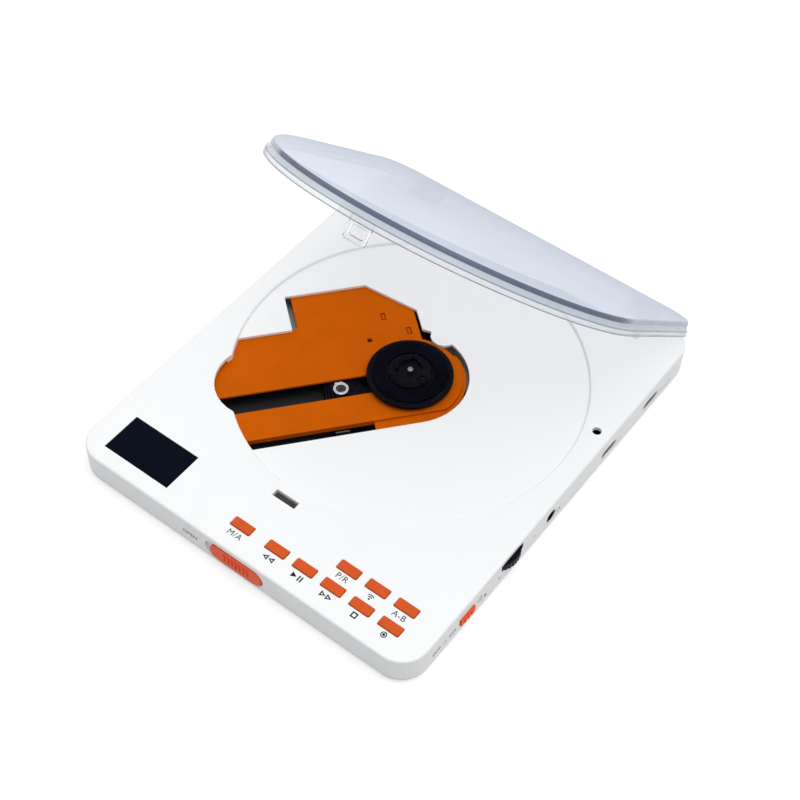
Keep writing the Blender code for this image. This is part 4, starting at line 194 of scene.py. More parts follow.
def clear_plastic(name, tint, roughness):
    """Clear plastic that bends the light, with a slight wave in its surface."""
    material, tree, shader = shader_of(name)
    light = scaled(tint, CLEAR_LIGHT_SHARE)
    tree.links.new(ramp(tree, noise(tree, CLEAR_PATCH), tint, light), shader.inputs["Base Color"])
    uneven_gloss(tree, shader, noise(tree, CLEAR_GLOSS_PATCH), roughness, less=0.7, more=1.5)
    shader.inputs["Transmission Weight"].default_value = 1.0
    shader.inputs["IOR"].default_value = CLEAR_IOR
    waves = noise(tree, CLEAR_WAVE_SCALE, GRAIN_DETAIL)
    bump(tree, shader, waves, CLEAR_WAVE_STRENGTH, CLEAR_WAVE_DEPTH)
    return material


def clearer_face_on(tree, shader, face_on, edge_on):
    """Clear plastic hides more of what is behind it the flatter it is seen."""
    weight = tree.nodes.new("ShaderNodeLayerWeight")
    mask = tree.nodes.new("ShaderNodeMapRange")
    mask.inputs["From Min"].default_value = FACE_ON_UNTIL
    mask.inputs["From Max"].default_value = EDGE_ON_FROM
    mask.inputs["To Min"].default_value = face_on
    mask.inputs["To Max"].default_value = edge_on
    tree.links.new(weight.outputs["Facing"], mask.inputs["Value"])
    tree.links.new(mask.outputs["Result"], shader.inputs["Alpha"])


def painted_shade_by(name, factor_of, near, far, alpha, roughness, shine, face_on=None):
    """Clear plastic with painted shade: its tint goes from one colour to a darker one along a mask of its
    own places, standing in for light bent in the plastic.
    """
    material, tree, shader = shader_of(name)
    mixed = tree.nodes.new("ShaderNodeMix")
    mixed.data_type = "RGBA"
    colours = [socket for socket in mixed.inputs if socket.type == "RGBA"]
    result = [socket for socket in mixed.outputs if socket.type == "RGBA"][0]
    tree.links.new(factor_of(tree), mixed.inputs["Factor"])
    patches = noise(tree, TINT_PATCH)
    for socket, colour in zip(colours, (near, far)):
        tree.links.new(ramp(tree, patches, scaled(colour, TINT_DARK_SHARE), colour), socket)
    tree.links.new(result, shader.inputs["Base Color"])
    uneven_gloss(tree, shader, noise(tree, TINT_GLOSS_PATCH), roughness, less=0.8, more=1.3)
    shader.inputs["Specular IOR Level"].default_value = shine
    shader.inputs["Alpha"].default_value = alpha
    if face_on is not None:
        clearer_face_on(tree, shader, face_on, alpha)
    return material


# Where the lid's painted shade changes, in millimetres from its hinge
STRIP_CENTRE = (-15.7, -55.5, 8.3)
STRIP_START, STRIP_FULL = 73.4, 74.9
STRIP_BACK, STRIP_FRONT = -86, -100
BAND_BACK, BAND_FRONT = -70, -84
BAND_LEFT, BAND_RIGHT = -47, -42


def front_strip(tree):
    """The strip inside the lid's front edge, between the rim and a flatter arc, where the panel gets
    painted shade.
    """
    away = tree.nodes.new("ShaderNodeVectorMath")
    away.operation = "DISTANCE"
    away.inputs[1].default_value = [place * MM for place in STRIP_CENTRE]
    tree.links.new(own_places(tree), away.inputs[0])
    outside = smooth_mask(tree, away.outputs["Value"], STRIP_START, STRIP_FULL)
    return combined(tree, "MULTIPLY", outside, axis_mask(tree, Y, STRIP_BACK, STRIP_FRONT))


def round_side(tree):
    """The round front half of the rim, up to its left end, where the edge band gets its darkest painted
    shade.
    """
    front = axis_mask(tree, Y, BAND_BACK, BAND_FRONT)
    return combined(tree, "MULTIPLY", front, axis_mask(tree, X, BAND_LEFT, BAND_RIGHT))


# Materials of the case and drive
CASE = moulded("case_white", (0.885, 0.889, 0.887), spread=0.006, roughness=0.38, grain=3200,
               depth=0.003, patch=30)
BASE = moulded("base_white", (0.84, 0.845, 0.85), spread=0.01, roughness=0.45, grain=3000, patch=30)
ORANGE = moulded("orange_plastic", (0.64, 0.084, 0.006), spread=0.05, grain=3000, depth=0.003,
                 patch=160, shine=0.2)
SLIDER_ORANGE = moulded("slider_orange", (0.90, 0.092, 0.009), spread=0.05, roughness=0.44, grain=3000,
                        depth=0.003, patch=160, shine=0.2)
COVER = moulded("cover_orange", (0.575, 0.103, 0.0), spread=0.05, roughness=0.5, grain=1800, depth=0.006,
                patch=90, shine=0.03)
# Painted shade: a darker orange for frames drawn on the drive cover where its small rims fall in shade.
EDGE_SHADE_ORANGE = moulded("cover_painted_edge_shade", (0.16, 0.018, 0.0), spread=0.05, roughness=0.5, grain=1800, depth=0.003,
                      patch=90, shine=0.03)
BLACK = moulded("black_plastic", (0.003, 0.0026, 0.0055), spread=0.25, roughness=0.4, grain=2400, patch=120,
                shine=0.05)
SOFT_BLACK = moulded("black_rubber", (0.0020, 0.0024, 0.0060), spread=0.3, roughness=0.7, grain=2800,
                     depth=0.008, patch=120, shine=0.02)
SCREEN = moulded("screen_glass", (0.0022, 0.0038, 0.010), spread=0.15, roughness=0.09, grain=600,
                 depth=0.0005, patch=60, shine=0.015)
PAD = moulded("silicone", (0.62, 0.62, 0.58), spread=0.04, roughness=0.6, grain=1500, depth=0.006, patch=80)
BOARD = moulded("circuit_board", (0.012, 0.10, 0.035), spread=0.25, roughness=0.35, grain=700,
                depth=0.02, patch=500)
CATCH = moulded("catch_white", (0.72, 0.72, 0.69), roughness=0.4, grain=2200, patch=80)
FOIL = moulded("cell_foil", (0.55, 0.56, 0.58), spread=0.1, roughness=0.3, grain=500, depth=0.02, patch=200,
               metallic=0.9)
STEEL = brushed("steel", (0.56, 0.57, 0.58), 0.34, stretch=(1, 14, 14))
PLATE = brushed("chassis_plate", (0.045, 0.045, 0.05), 0.5, stretch=(1, 10, 1))
CHROME = brushed("chromed_steel", (0.60, 0.60, 0.62), 0.22, stretch=(1, 1, 8), grain=600)
SPINDLE = brushed("spindle_steel", (0.27, 0.28, 0.30), 0.34, stretch=(1, 1, 8), grain=600)
CLEAR = clear_plastic("clear_plastic", (0.93, 0.95, 0.97), 0.02)
LENS = moulded("lens_glass", (0.008, 0.010, 0.018), spread=0.2, roughness=0.06, grain=500, depth=0.0005,
               patch=60, shine=0.4)
INK = moulded("printed_ink", (0.012, 0.012, 0.014), spread=0.2, roughness=0.55, grain=2400, depth=0.002,
              patch=300, shine=0.1)


def lid_plastic(name, colour, roughness, shine, alpha, spread=0.03):
    """The lid's plastic away from its panel and its upper edge."""
    return moulded(name, colour, spread=spread, roughness=roughness, grain=400, depth=0.001, patch=60,
                   shine=shine, alpha=alpha)


# Materials of the lid
# Painted shade: the panel is darker in the strip inside its front edge, standing in for light bent in the
# thick rim.
LID_PANEL = painted_shade_by("lid_panel", front_strip, (0.735, 0.775, 0.87), (0.60, 0.65, 0.74),
                      alpha=0.82, roughness=0.3, shine=0.0, face_on=0.18)
# Painted shade: the edge band is dark blue, darkest on its round front half, standing in for light bent at
# the rim's curved edge.
LID_PAINTED_SHADE_BAND = painted_shade_by("lid_edge_painted_shade", round_side, (0.42, 0.47, 0.55), (0.088, 0.112, 0.185),
                     alpha=0.94, roughness=0.25, shine=0.2)
LID_WALL = lid_plastic("lid_wall", (0.50, 0.56, 0.64), roughness=0.15, shine=0.2, alpha=0.75)
# Painted shade: the rim's step is grey, standing in for light bent at this edge of the clear plastic.
LID_PAINTED_SHADE_STEP = lid_plastic("lid_step_painted_shade", (0.24, 0.27, 0.31), roughness=0.3, shine=0.3, alpha=0.85, spread=0.05)
LID_SKIRT = lid_plastic("lid_skirt", (0.88, 0.92, 0.95), roughness=0.12, shine=0.5, alpha=0.40)
# Painted shade: the rim's lowest edge is dark grey, standing in for light bent at this edge of the clear
# plastic.
LID_PAINTED_SHADE_LINE = lid_plastic("lid_lower_edge_painted_shade", (0.20, 0.22, 0.24), roughness=0.3, shine=0.3, alpha=0.75,
                       spread=0.05)
LID_INNER = lid_plastic("lid_inner", (0.74, 0.78, 0.84), roughness=0.12, shine=0.5, alpha=0.30)
LID_UNDER = lid_plastic("lid_underside", (0.74, 0.78, 0.84), roughness=0.12, shine=0.2, alpha=0.11)
LID_POST = lid_plastic("lid_post", (0.86, 0.88, 0.90), roughness=0.2, shine=0.5, alpha=0.85)

LOOKS = {
    "top_case": CASE, "bottom_case": BASE, "display_window": SCREEN, "display_module": BLACK,
    "key_pad": PAD, "key_board": BOARD, "main_board": BOARD, "battery_cell": FOIL, "lid_catch": CATCH,
    "headphone_jack": BLACK, "lid_switch": BLACK, "lid_plunger": BLACK, "drive_chassis": PLATE,
    "drive_cover": COVER, "spindle_motor": PLATE, "guide_rod": CHROME, "sled_motor": PLATE,
    "open_slider": SLIDER_ORANGE, "power_knob": SLIDER_ORANGE, "volume_wheel": BLACK, "turntable": BLACK,
    "disc_seat": SOFT_BLACK, "spindle_shaft": SPINDLE, "pickup_sled": BLACK, "lead_screw": CHROME,
    "lens_holder": BLACK, "lens": LENS,
}
FAMILY_LOOKS = (("key_", ORANGE), ("foot_", SOFT_BLACK), ("damper_", SOFT_BLACK), ("disc_claw", BLACK))


def look_for(name):
    """A node's own look, else its family's, else bare steel."""
    if name in LOOKS:
        return LOOKS[name]
    for start, material in FAMILY_LOOKS:
        if name.startswith(start):
            return material
    return STEEL


for node_name, node in NODES.items():
    for material_slot in node.material_slots:
        material_slot.material = look_for(node_name)


# Outlines, in millimetres
def bow(x, y, radius, start, end, steps):
    """Points along a circle from one angle to another, in degrees."""
    angles = [math.radians(start + (end - start) * step / steps) for step in range(steps + 1)]
    return [(x + radius * math.cos(angle), y + radius * math.sin(angle)) for angle in angles]


def circle(x, y, radius, count=24):
    return bow(x, y, radius, 0, 360, count)[:-1]


def arc_band(x, y, inner, outer, start, end, count=10):
    return bow(x, y, outer, start, end, count) + bow(x, y, inner, end, start, count)


def rect(x0, y0, x1, y1):
    return [(x0, y0), (x1, y0), (x1, y1), (x0, y1)]


def block(half_x, half_y):
    return rect(-half_x, -half_y, half_x, half_y)


def hanging(half, top, foot, corner, steps):
    """A plate's outline with a straight top and rounded corners at its foot."""
    left = bow(corner - half, foot + corner, corner, 180, 270, steps)
    right = bow(half - corner, foot + corner, corner, 270, 360, steps)
    return [(half, top), (-half, top)] + left + right


# Meshes
def mesh_object(name, mesh, materials):
    for material in materials:
        mesh.materials.append(material)
    obj = bpy.data.objects.new(name, mesh)
    bpy.context.scene.collection.objects.link(obj)
    mesh.shade_smooth()
    mesh.set_sharp_from_angle(angle=SHARP_ANGLE)
    return obj


def converted(name, data, material):
    """A curve or a text turned into a mesh with one material."""
    source = bpy.data.objects.new(name + "_source", data)
    bpy.context.scene.collection.objects.link(source)
    bpy.context.view_layer.update()
    evaluated = source.evaluated_get(bpy.context.evaluated_depsgraph_get())
    mesh = bpy.data.meshes.new_from_object(evaluated)
    bpy.data.objects.remove(source)
    mesh.materials.clear()
    return mesh_object(name, mesh, [material])


def raised(name, loops, thickness, material, edge=0.0):
    """A flat outline raised to a thickness about its middle, with rounded edges."""
    curve = bpy.data.curves.new(name, "CURVE")
    curve.dimensions = "2D"
    curve.fill_mode = "BOTH"
    curve.extrude = (thickness / 2 - edge) * MM
    curve.bevel_depth = edge * MM
    curve.bevel_resolution = 2
    curve.offset = -edge * MM
    for loop in loops:
        spline = curve.splines.new("POLY")
        spline.points.add(len(loop) - 1)
        for point, (x, y) in zip(spline.points, loop):
            point.co = (x * MM, y * MM, 0, 1)
        spline.use_cyclic_u = True
    return converted(name, curve, material)


# The clear lid, in millimetres from its hinge axis
LID_HALF = edge_of("lid", X, max) / MM
LID_CORNER = 14.0
LID_BACK = 3.3
LID_ROUND_Y = -72.5
CORNER_STEPS = 24
ROUND_STEPS = 180
RIM = [
    (3.4, 6.7, LID_INNER), (3.05, 6.55, LID_INNER), (2.85, 6.2, LID_INNER), (2.75, 4.5, LID_INNER),
    (2.6, 4.32, LID_INNER), (1.55, 4.3, LID_INNER), (1.4, 4.15, LID_INNER), (1.35, 3.15, LID_PAINTED_SHADE_LINE),
    (1.2, 3.0, LID_PAINTED_SHADE_LINE), (0.15, 3.0, LID_PAINTED_SHADE_LINE), (0.03, 3.06, LID_PAINTED_SHADE_LINE), (0.0, 3.28, LID_SKIRT),
    (0.17, 4.72, LID_PAINTED_SHADE_STEP), (0.24, 4.92, LID_PAINTED_SHADE_STEP), (0.42, 5.05, LID_PAINTED_SHADE_STEP), (0.62, 5.14, LID_WALL),
    (0.78, 5.26, LID_WALL), (0.88, 5.5, LID_WALL), (1.14, 6.72, LID_PAINTED_SHADE_BAND), (1.32, 7.6, LID_PAINTED_SHADE_BAND),
    (1.44, 7.98, LID_PAINTED_SHADE_BAND), (1.66, 8.2, LID_PAINTED_SHADE_BAND), (2.0, 8.3, LID_PANEL),
]
SHEET_INSET, SHEET_HEIGHT, SHEET_THICKNESS = 3.7, 6.6, 0.1
UPRIGHT_FRONT = Matrix(((1, 0, 0), (0, 0, -1), (0, 1, 0))).to_4x4()
UPRIGHT_RIGHT = Matrix(((0, 0, 1), (1, 0, 0), (0, 1, 0))).to_4x4()


def on_lid(obj, x=0.0, y=0.0, z=0.0, turn=None):
    local = Matrix.Translation((x * MM, y * MM, z * MM))
    obj.matrix_world = LID_PLACE @ (local @ turn if turn else local)
    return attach(obj, "lid")


def lid_plan(inset):
    """The lid's outline from above, a distance inside its edge."""
    half = LID_HALF - inset
    corner = LID_CORNER - inset
    back = LID_BACK - inset - corner
    right = bow(half - corner, back, corner, 0, 90, CORNER_STEPS)
    left = bow(corner - half, back, corner, 90, 180, CORNER_STEPS)
    return right + left + bow(0, LID_ROUND_Y, half, 180, 360, ROUND_STEPS)


def clear_shell():
    """The lid's shell: its rim's profile, listed as inset, height and look, swept round its outline."""
    looks = [LID_INNER, LID_PAINTED_SHADE_LINE, LID_SKIRT, LID_PAINTED_SHADE_STEP, LID_WALL, LID_PAINTED_SHADE_BAND, LID_PANEL]
    form = bmesh.new()
    rings = []
    for inset, height, _ in RIM:
        rings.append([form.verts.new((x * MM, y * MM, height * MM)) for x, y in lid_plan(inset)])
    for (_, _, look), lower, upper in zip(RIM, rings, rings[1:]):
        for index, vertex in enumerate(lower):
            following = (index + 1) % len(lower)
            face = form.faces.new((vertex, lower[following], upper[following], upper[index]))
            face.material_index = looks.index(look)
    form.faces.new(rings[0]).material_index = looks.index(LID_INNER)
    form.faces.new(rings[-1]).material_index = looks.index(LID_PANEL)
    bmesh.ops.recalc_face_normals(form, faces=form.faces)
    mesh = bpy.data.meshes.new("clear_lid")
    form.to_mesh(mesh)
    form.free()
    return mesh_object("clear_lid", mesh, looks)


shell = on_lid(clear_shell())
shell.visible_shadow = False
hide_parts("lid")
on_lid(raised("lid_underside", [lid_plan(SHEET_INSET)], SHEET_THICKNESS, LID_UNDER), z=SHEET_HEIGHT)

# The latch tab with its window
TAB_Y = -139.9
TAB_HALF, TAB_TOP, TAB_FOOT, TAB_CORNER = 4.1, 5.1, -2.9, 1.2
TAB_THICKNESS, TAB_EDGE = 1.4, 0.3
WINDOW_HALF, WINDOW_TOP, WINDOW_FOOT, WINDOW_CORNER = 2.4, 2.0, -1.0, 0.4
tab_outline = hanging(TAB_HALF, TAB_TOP, TAB_FOOT, TAB_CORNER, steps=8)
tab_window = hanging(WINDOW_HALF, WINDOW_TOP, WINDOW_FOOT, WINDOW_CORNER, steps=4)
latch_tab = raised("latch_tab", [tab_outline, tab_window], TAB_THICKNESS, CLEAR, TAB_EDGE)
on_lid(latch_tab, y=TAB_Y, turn=UPRIGHT_FRONT)

# The two hinge ears
EAR_X = 48.0
EAR_LENGTH = 12.0
EAR_RADIUS = 2.6
EAR_BORE = 0.95
EAR_TOP = 6.9
EAR_BACK, EAR_START = 0.6, 76.7
EAR_FRONT, EAR_END = 2.0, 399.7
EAR_EDGE = 0.2
ear_round = bow(0, 0, EAR_RADIUS, EAR_START, EAR_END, steps=40)
ear_loops = [[(EAR_BACK, EAR_TOP)] + ear_round + [(EAR_FRONT, EAR_TOP)], circle(0, 0, EAR_BORE)]
for side, label in ((-1, "left"), (1, "right")):
    ear = raised("lid_ear_" + label, ear_loops, EAR_LENGTH, LID_WALL, EAR_EDGE)
    on_lid(ear, x=side * EAR_X, turn=UPRIGHT_RIGHT)

# The post that works the lid switch, and its web to the rim, listed as inset and height
POST_X, POST_Y = 64.8, -54.2
POST_RADIUS, POST_LENGTH, POST_MIDDLE, POST_EDGE = 1.1, 6.2, 3.7, 0.2
WEB_TOP, WEB_FOOT, WEB_THICKNESS, WEB_EDGE = 6.8, 3.2, 0.7, 0.1
WEB_RIM = ((1.18, WEB_TOP), (0.88, 5.4), (0.6, 5.1), (0.22, 4.8), (0.04, WEB_FOOT))
web_rim = [(LID_HALF - inset, height) for inset, height in WEB_RIM]
web_outline = [(POST_X, WEB_TOP)] + web_rim + [(POST_X, WEB_FOOT)]
post_web = raised("post_web", [web_outline], WEB_THICKNESS, LID_POST, WEB_EDGE)
on_lid(post_web, y=POST_Y, turn=UPRIGHT_FRONT)
post_outline = circle(POST_X, POST_Y, POST_RADIUS, count=36)
on_lid(raised("lid_post", [post_outline], POST_LENGTH, LID_POST, POST_EDGE), z=POST_MIDDLE)

# Printed marks, in millimetres
KEY_LABEL_HEIGHT = 2.15
SIDE_LABEL_HEIGHT = 1.6
CAPITAL_SHARE = 0.7
LETTER_SPACING = 1.08
LINE_HALF = 0.1
STROKE_REACH_SHARE = 1.6


def flat_mesh(name, loops):
    """A flat printed shape with holes, raised by its ink's thickness."""
    return raised(name, loops, INK_HEIGHT / MM, INK)


def text_mesh(name, words, height):
    font = bpy.data.curves.new(name, "FONT")
    font.body = words
    font.size = height * MM / CAPITAL_SHARE
    font.align_x = "CENTER"
    font.align_y = "CENTER"
    font.space_character = LETTER_SPACING
    font.extrude = INK_HEIGHT / 2
    font.resolution_u = 3
    return converted(name, font, INK)


def triangle(x, half, height, facing, stroke=0.0):
    """An arrowhead that faces left or right, made smaller by a stroke on every side."""
    tip = x + facing * (half - 2 * stroke)
    base = x - facing * (half - stroke)
    reach = height - STROKE_REACH_SHARE * stroke
    return [(base, -reach), (base, reach), (tip, 0)]


def on_deck(obj, x, y):
    obj.matrix_world = Matrix.Translation((x * MM, y * MM, DECK + INK_HEIGHT / 2))
    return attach(obj, "case")


def on_front(obj, x, z):
    obj.matrix_world = Matrix.Translation((x * MM, FRONT - INK_HEIGHT / 2, z * MM)) @ UPRIGHT_FRONT
    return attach(obj, "case")


def on_right(obj, y, z):
    obj.matrix_world = Matrix.Translation((SIDE + INK_HEIGHT / 2, y * MM, z * MM)) @ UPRIGHT_RIGHT
    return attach(obj, "case")


ARROW_PLACES = (-1.2, 1.1)
ARROW_HALF, ARROW_HEIGHT, ARROW_STROKE = 1.02, 1.05, 0.42
PLAY_PLACE, PLAY_HALF = -1.2, 1.0
BAR_PLACES, BAR_HALF, BAR_HEIGHT = (0.65, 1.65), 0.25, 1.05
STOP_HALF, STOP_HOLE = 1.05, 0.58
DISC_RADIUS, DISC_HOLE, DOT_RADIUS = 1.1, 0.75, 0.5
WAVE_FOOT, WAVE_DOT = -0.85, 0.34
WAVE_BANDS = ((0.72, 1.06), (1.42, 1.76))
WAVE_START, WAVE_END = 45, 135


def outlined_arrows(name, facing):
    loops = []
    for x in ARROW_PLACES:
        loops.append(triangle(x, ARROW_HALF, ARROW_HEIGHT, facing))
        loops.append(triangle(x, ARROW_HALF, ARROW_HEIGHT, facing, ARROW_STROKE))
    return flat_mesh(name, loops)


def play_mark():
    bars = [rect(x - BAR_HALF, -BAR_HEIGHT, x + BAR_HALF, BAR_HEIGHT) for x in BAR_PLACES]
    return flat_mesh("label_play", [triangle(PLAY_PLACE, PLAY_HALF, PLAY_HALF, 1)] + bars)


def sound_mark():
    rings = [circle(0, 0, DISC_RADIUS), circle(0, 0, DISC_HOLE), circle(0, 0, DOT_RADIUS, 16)]
    return flat_mesh("label_sound", rings)


def wave_mark():
    bands = [arc_band(0, WAVE_FOOT, inner, outer, WAVE_START, WAVE_END) for inner, outer in WAVE_BANDS]
    return flat_mesh("label_wireless", [circle(0, WAVE_FOOT, WAVE_DOT, 12)] + bands)


# Marks at the keys: the mark, its key's place across, its row, and how far it sits off that place
KEY_PITCH = 11.36
LAST_KEY_X = 55.8
MODE_KEY_X = -4.0
NEAR_ROW = -78.9
FAR_ROW = -70.7
KEY_MARKS = (
    (text_mesh("label_mode", "M/A", KEY_LABEL_HEIGHT), MODE_KEY_X, NEAR_ROW, (0, -0.3)),
    (text_mesh("label_program", "P/R", KEY_LABEL_HEIGHT), LAST_KEY_X - 2 * KEY_PITCH, FAR_ROW, (0, 0)),
    (text_mesh("label_repeat", "A-B", KEY_LABEL_HEIGHT), LAST_KEY_X, FAR_ROW, (-0.2, 0)),
    (outlined_arrows("label_rewind", -1), LAST_KEY_X - 4 * KEY_PITCH, NEAR_ROW, (-0.2, -0.35)),
    (outlined_arrows("label_forward", 1), LAST_KEY_X - 2 * KEY_PITCH, NEAR_ROW, (0.25, -0.1)),
    (play_mark(), LAST_KEY_X - 3 * KEY_PITCH, NEAR_ROW, (0.15, -0.25)),
    (flat_mesh("label_stop", [block(STOP_HALF, STOP_HALF), block(STOP_HOLE, STOP_HOLE)]),
     LAST_KEY_X - KEY_PITCH, NEAR_ROW, (0, 0)),
    (sound_mark(), LAST_KEY_X, NEAR_ROW, (0, 0.2)),
    (wave_mark(), LAST_KEY_X - KEY_PITCH, FAR_ROW, (0, 0)),
)
for mark, key_x, row, (across, along) in KEY_MARKS:
    on_deck(mark, key_x + across, row + along)

OPEN_LABEL_X, OPEN_LABEL_Z = -18.5, 5.9
on_front(text_mesh("label_open", "OPEN", SIDE_LABEL_HEIGHT), OPEN_LABEL_X, OPEN_LABEL_Z)

SIDE_LABEL_Z = 5.2
SIDE_DASH_Z = 5.4
PHONES_Z = 5.0
LOCK_HALF, LOCK_FOOT, LOCK_TOP = 0.55, -0.75, 0.05
SHACKLE_INNER, SHACKLE_OUTER = 0.25, 0.42
ARM = 0.6
PHONES_BAND_Y, PHONES_INNER, PHONES_OUTER = -0.1, 0.62, 0.8
CUP_INNER, CUP_OUTER, CUP_FOOT, CUP_TOP = 0.5, 0.9, -0.8, -0.15


def dash(name, half):
    return flat_mesh(name, [block(half, LINE_HALF)])


def lock_mark():
    body = rect(-LOCK_HALF, LOCK_FOOT, LOCK_HALF, LOCK_TOP)
    return flat_mesh("mark_lock", [body, arc_band(0, LOCK_TOP, SHACKLE_INNER, SHACKLE_OUTER, 0, 180)])


def plus_mark():
    quarter = [(-ARM, -LINE_HALF), (-LINE_HALF, -LINE_HALF), (-LINE_HALF, -ARM)]
    loop = []
    for _ in range(4):
        loop += quarter
        quarter = [(-y, x) for x, y in quarter]
    return flat_mesh("mark_plus", [loop])


def phones_mark():
    band = arc_band(0, PHONES_BAND_Y, PHONES_INNER, PHONES_OUTER, 0, 180)
    cups = [rect(-CUP_OUTER, CUP_FOOT, -CUP_INNER, CUP_TOP), rect(CUP_INNER, CUP_FOOT, CUP_OUTER, CUP_TOP)]
    return flat_mesh("mark_phones", [band] + cups)


# Marks on the right side: the mark, its place along the side and its height
RIGHT_MARKS = (
    (text_mesh("label_off", "OFF", SIDE_LABEL_HEIGHT), -70.2, SIDE_LABEL_Z),
    (dash("mark_between", 0.9), -65.7, SIDE_LABEL_Z),
    (text_mesh("label_on", "ON", SIDE_LABEL_HEIGHT), -61.8, SIDE_LABEL_Z),
    (dash("mark_lock_dash", 0.7), -47.6, SIDE_DASH_Z),
    (lock_mark(), -44.2, SIDE_LABEL_Z),
    (plus_mark(), -36.5, SIDE_LABEL_Z),
    (dash("mark_minus", ARM), -16.6, SIDE_DASH_Z),
    (phones_mark(), -2.3, PHONES_Z),
)
for mark, along, height in RIGHT_MARKS:
    on_right(mark, along, height)

# Small parts of the drive and painted shade on its cover, in millimetres from the turntable, along the
# pickup's slot and across it
WELL_CENTRE = (0.0, 8.7 * MM)
PICKUP_TURN = math.radians(229.7)
# Painted shade on the drive cover: dark frames standing in for the shaded rims of two small moulded
# rectangles and the shaded edge of a hole.
EDGE_SHADE_LINE = 0.28
COVER_EDGE_SHADES = (
    ("far_mark", (3.2, -29.6), (0.85, 1.6)),
    ("near_mark", (-4.5, -21.3), (0.85, 1.6)),
    ("hole_edge_shade", (10.2, -19.6), (0.85, 0.85)),
)
LENS_X = 24.4
RING_OUTER, RING_INNER, RING_THICKNESS, RING_EDGE, RING_LIFT = 2.7, 1.75, 0.3, 0.08, 0.1
BRACKET_PLACE, BRACKET_HALF, BRACKET_HOLE_HALF = (24.7, -2.5), (1.4, 0.55), (0.5, 0.2)
BRACKET_THICKNESS, BRACKET_EDGE, BRACKET_SINK = 0.3, 0.05, 0.1


def on_drive(obj, x, y, z, body):
    place = Matrix.Translation((*WELL_CENTRE, z)) @ Matrix.Rotation(PICKUP_TURN, 4, "Z")
    obj.matrix_world = place @ Matrix.Translation((x * MM, y * MM, 0))
    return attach(obj, body)


COVER_TOP = edge_of("drive_cover", Z, max)
for label, (mark_x, mark_y), (half_x, half_y) in COVER_EDGE_SHADES:
    shade_loops = [block(half_x, half_y), block(half_x - EDGE_SHADE_LINE, half_y - EDGE_SHADE_LINE)]
    mark = raised("cover_" + label, shade_loops, INK_HEIGHT / MM, EDGE_SHADE_ORANGE)
    on_drive(mark, mark_x, mark_y, COVER_TOP + INK_HEIGHT / 2, "case")

HOLDER_TOP = edge_of("lens_holder", Z, max)
ring_loops = [circle(0, 0, RING_OUTER, count=40), circle(0, 0, RING_INNER, count=40)]
lens_ring = raised("lens_ring", ring_loops, RING_THICKNESS, CHROME, RING_EDGE)
on_drive(lens_ring, LENS_X, 0, HOLDER_TOP + RING_LIFT * MM, "lens_unit")
bracket_loops = [block(*BRACKET_HALF), block(*BRACKET_HOLE_HALF)]
lens_bracket = raised("lens_bracket", bracket_loops, BRACKET_THICKNESS, CHROME, BRACKET_EDGE)
on_drive(lens_bracket, *BRACKET_PLACE, HOLDER_TOP - BRACKET_SINK * MM, "lens_unit")

# Floor and light
FLOOR_SIZE = 4.0
PAPER_PATCH = 8
PAPER_DARK, PAPER_LIGHT = 0.545, 0.555
PAPER_GLOW = (0.56, 0.56, 0.565, 1)
AMBIENT_COLOUR = (0.965, 0.98, 1.0, 1)
AMBIENT_STRENGTH = 0.52
WHITE = (1, 1, 1, 1)


def staged_plane(name, size, z, material):
    form = bmesh.new()
    bmesh.ops.create_grid(form, x_segments=2, y_segments=2, size=size)
    mesh = bpy.data.meshes.new(name)
    form.to_mesh(mesh)
    form.free()
    mesh.materials.append(material)
    obj = bpy.data.objects.new(name, mesh)
    bpy.context.scene.collection.objects.link(obj)
    obj.location = (0, 0, z)


def seen_directly(tree):
    """1 where the camera sees a surface, straight or through metal and glass."""
    path = tree.nodes.new("ShaderNodeLightPath").outputs
    mirrored = combined(tree, "MAXIMUM", path["Is Camera Ray"], path["Is Glossy Ray"])
    return combined(tree, "MAXIMUM", mirrored, path["Is Transmission Ray"])


def floor_material():
    """Pale paper that keeps the shadow and is brought up to white where it is seen."""
    material = bpy.data.materials.new("pale_floor")
    material.use_nodes = True
    tree = material.node_tree
    tree.nodes.remove(tree.nodes["Principled BSDF"])
    paper = tree.nodes.new("ShaderNodeBsdfDiffuse")
    fibres = ramp(tree, noise(tree, PAPER_PATCH), grey(PAPER_DARK), grey(PAPER_LIGHT))
    tree.links.new(fibres, paper.inputs["Color"])
    glow = tree.nodes.new("ShaderNodeEmission")
    glow.inputs["Color"].default_value = PAPER_GLOW
    tree.links.new(seen_directly(tree), glow.inputs["Strength"])
    add = tree.nodes.new("ShaderNodeAddShader")
    tree.links.new(paper.outputs[0], add.inputs[0])
    tree.links.new(glow.outputs[0], add.inputs[1])
    tree.links.new(add.outputs[0], tree.nodes["Material Output"].inputs["Surface"])
    return material


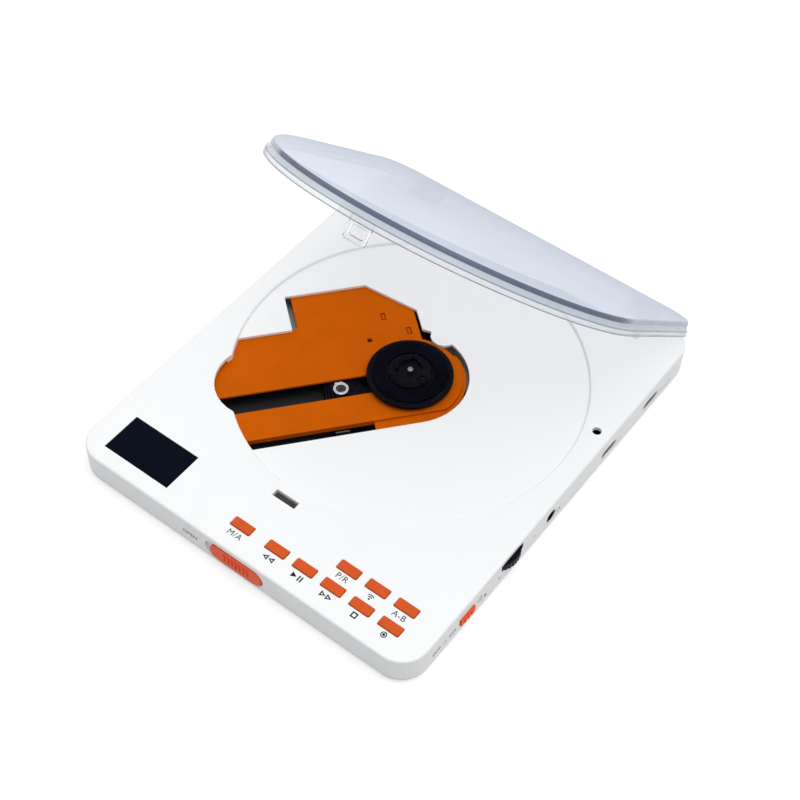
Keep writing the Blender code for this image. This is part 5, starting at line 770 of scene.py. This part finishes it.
def studio_world():
    """An even cool light, with white behind everything."""
    world = bpy.data.worlds.new("studio")
    bpy.context.scene.world = world
    world.use_nodes = True
    sky = world.node_tree
    ambient = sky.nodes["Background"]
    ambient.inputs["Color"].default_value = AMBIENT_COLOUR
    ambient.inputs["Strength"].default_value = AMBIENT_STRENGTH
    white = sky.nodes.new("ShaderNodeBackground")
    white.inputs["Color"].default_value = WHITE
    white.inputs["Strength"].default_value = 1.0
    choose = sky.nodes.new("ShaderNodeMixShader")
    sky.links.new(seen_directly(sky), choose.inputs["Fac"])
    sky.links.new(ambient.outputs[0], choose.inputs[1])
    sky.links.new(white.outputs[0], choose.inputs[2])
    sky.links.new(choose.outputs[0], sky.nodes["World Output"].inputs["Surface"])


def area_light(name, direction, distance, size, power):
    lamp = bpy.data.lights.new(name, "AREA")
    lamp.shape = "SQUARE"
    lamp.size = size
    lamp.energy = power
    obj = bpy.data.objects.new(name, lamp)
    bpy.context.scene.collection.objects.link(obj)
    aim = Vector(direction).normalized()
    obj.location = aim * distance
    obj.rotation_euler = aim.to_track_quat("Z", "Y").to_euler()


staged_plane("floor", FLOOR_SIZE, FLOOR_Z, floor_material())
studio_world()
area_light("key", (0.24, 0.0, 0.97), distance=1.5, size=1.1, power=12.8)
area_light("fill", (-0.5, 0.5, 0.9), distance=1.6, size=1.4, power=3.5)

# The camera that was solved from the photograph
SENSOR_WIDTH = 36
PICTURE_PIXELS = 800
FOCAL_PIXELS = 1583.906
ACROSS = (0.7956434, 0.6054381, 0.0199075)
UP = (-0.4858332, 0.6181443, 0.6179512)
BACK = (0.3618255, -0.5013405, 0.7859644)
PLACE = (0.2001655, -0.2741367, 0.4372945)
camera_data = bpy.data.cameras.new("camera")
camera_data.sensor_width = SENSOR_WIDTH
camera_data.lens = FOCAL_PIXELS * SENSOR_WIDTH / PICTURE_PIXELS
camera_data.clip_start = 0.01
camera = bpy.data.objects.new("camera", camera_data)
bpy.context.scene.collection.objects.link(camera)
rows = [(ACROSS[axis], UP[axis], BACK[axis], PLACE[axis]) for axis in (X, Y, Z)]
camera.matrix_world = Matrix((*rows, (0, 0, 0, 1)))
bpy.context.scene.camera = camera
bpy.context.scene.view_settings.view_transform = "Standard"
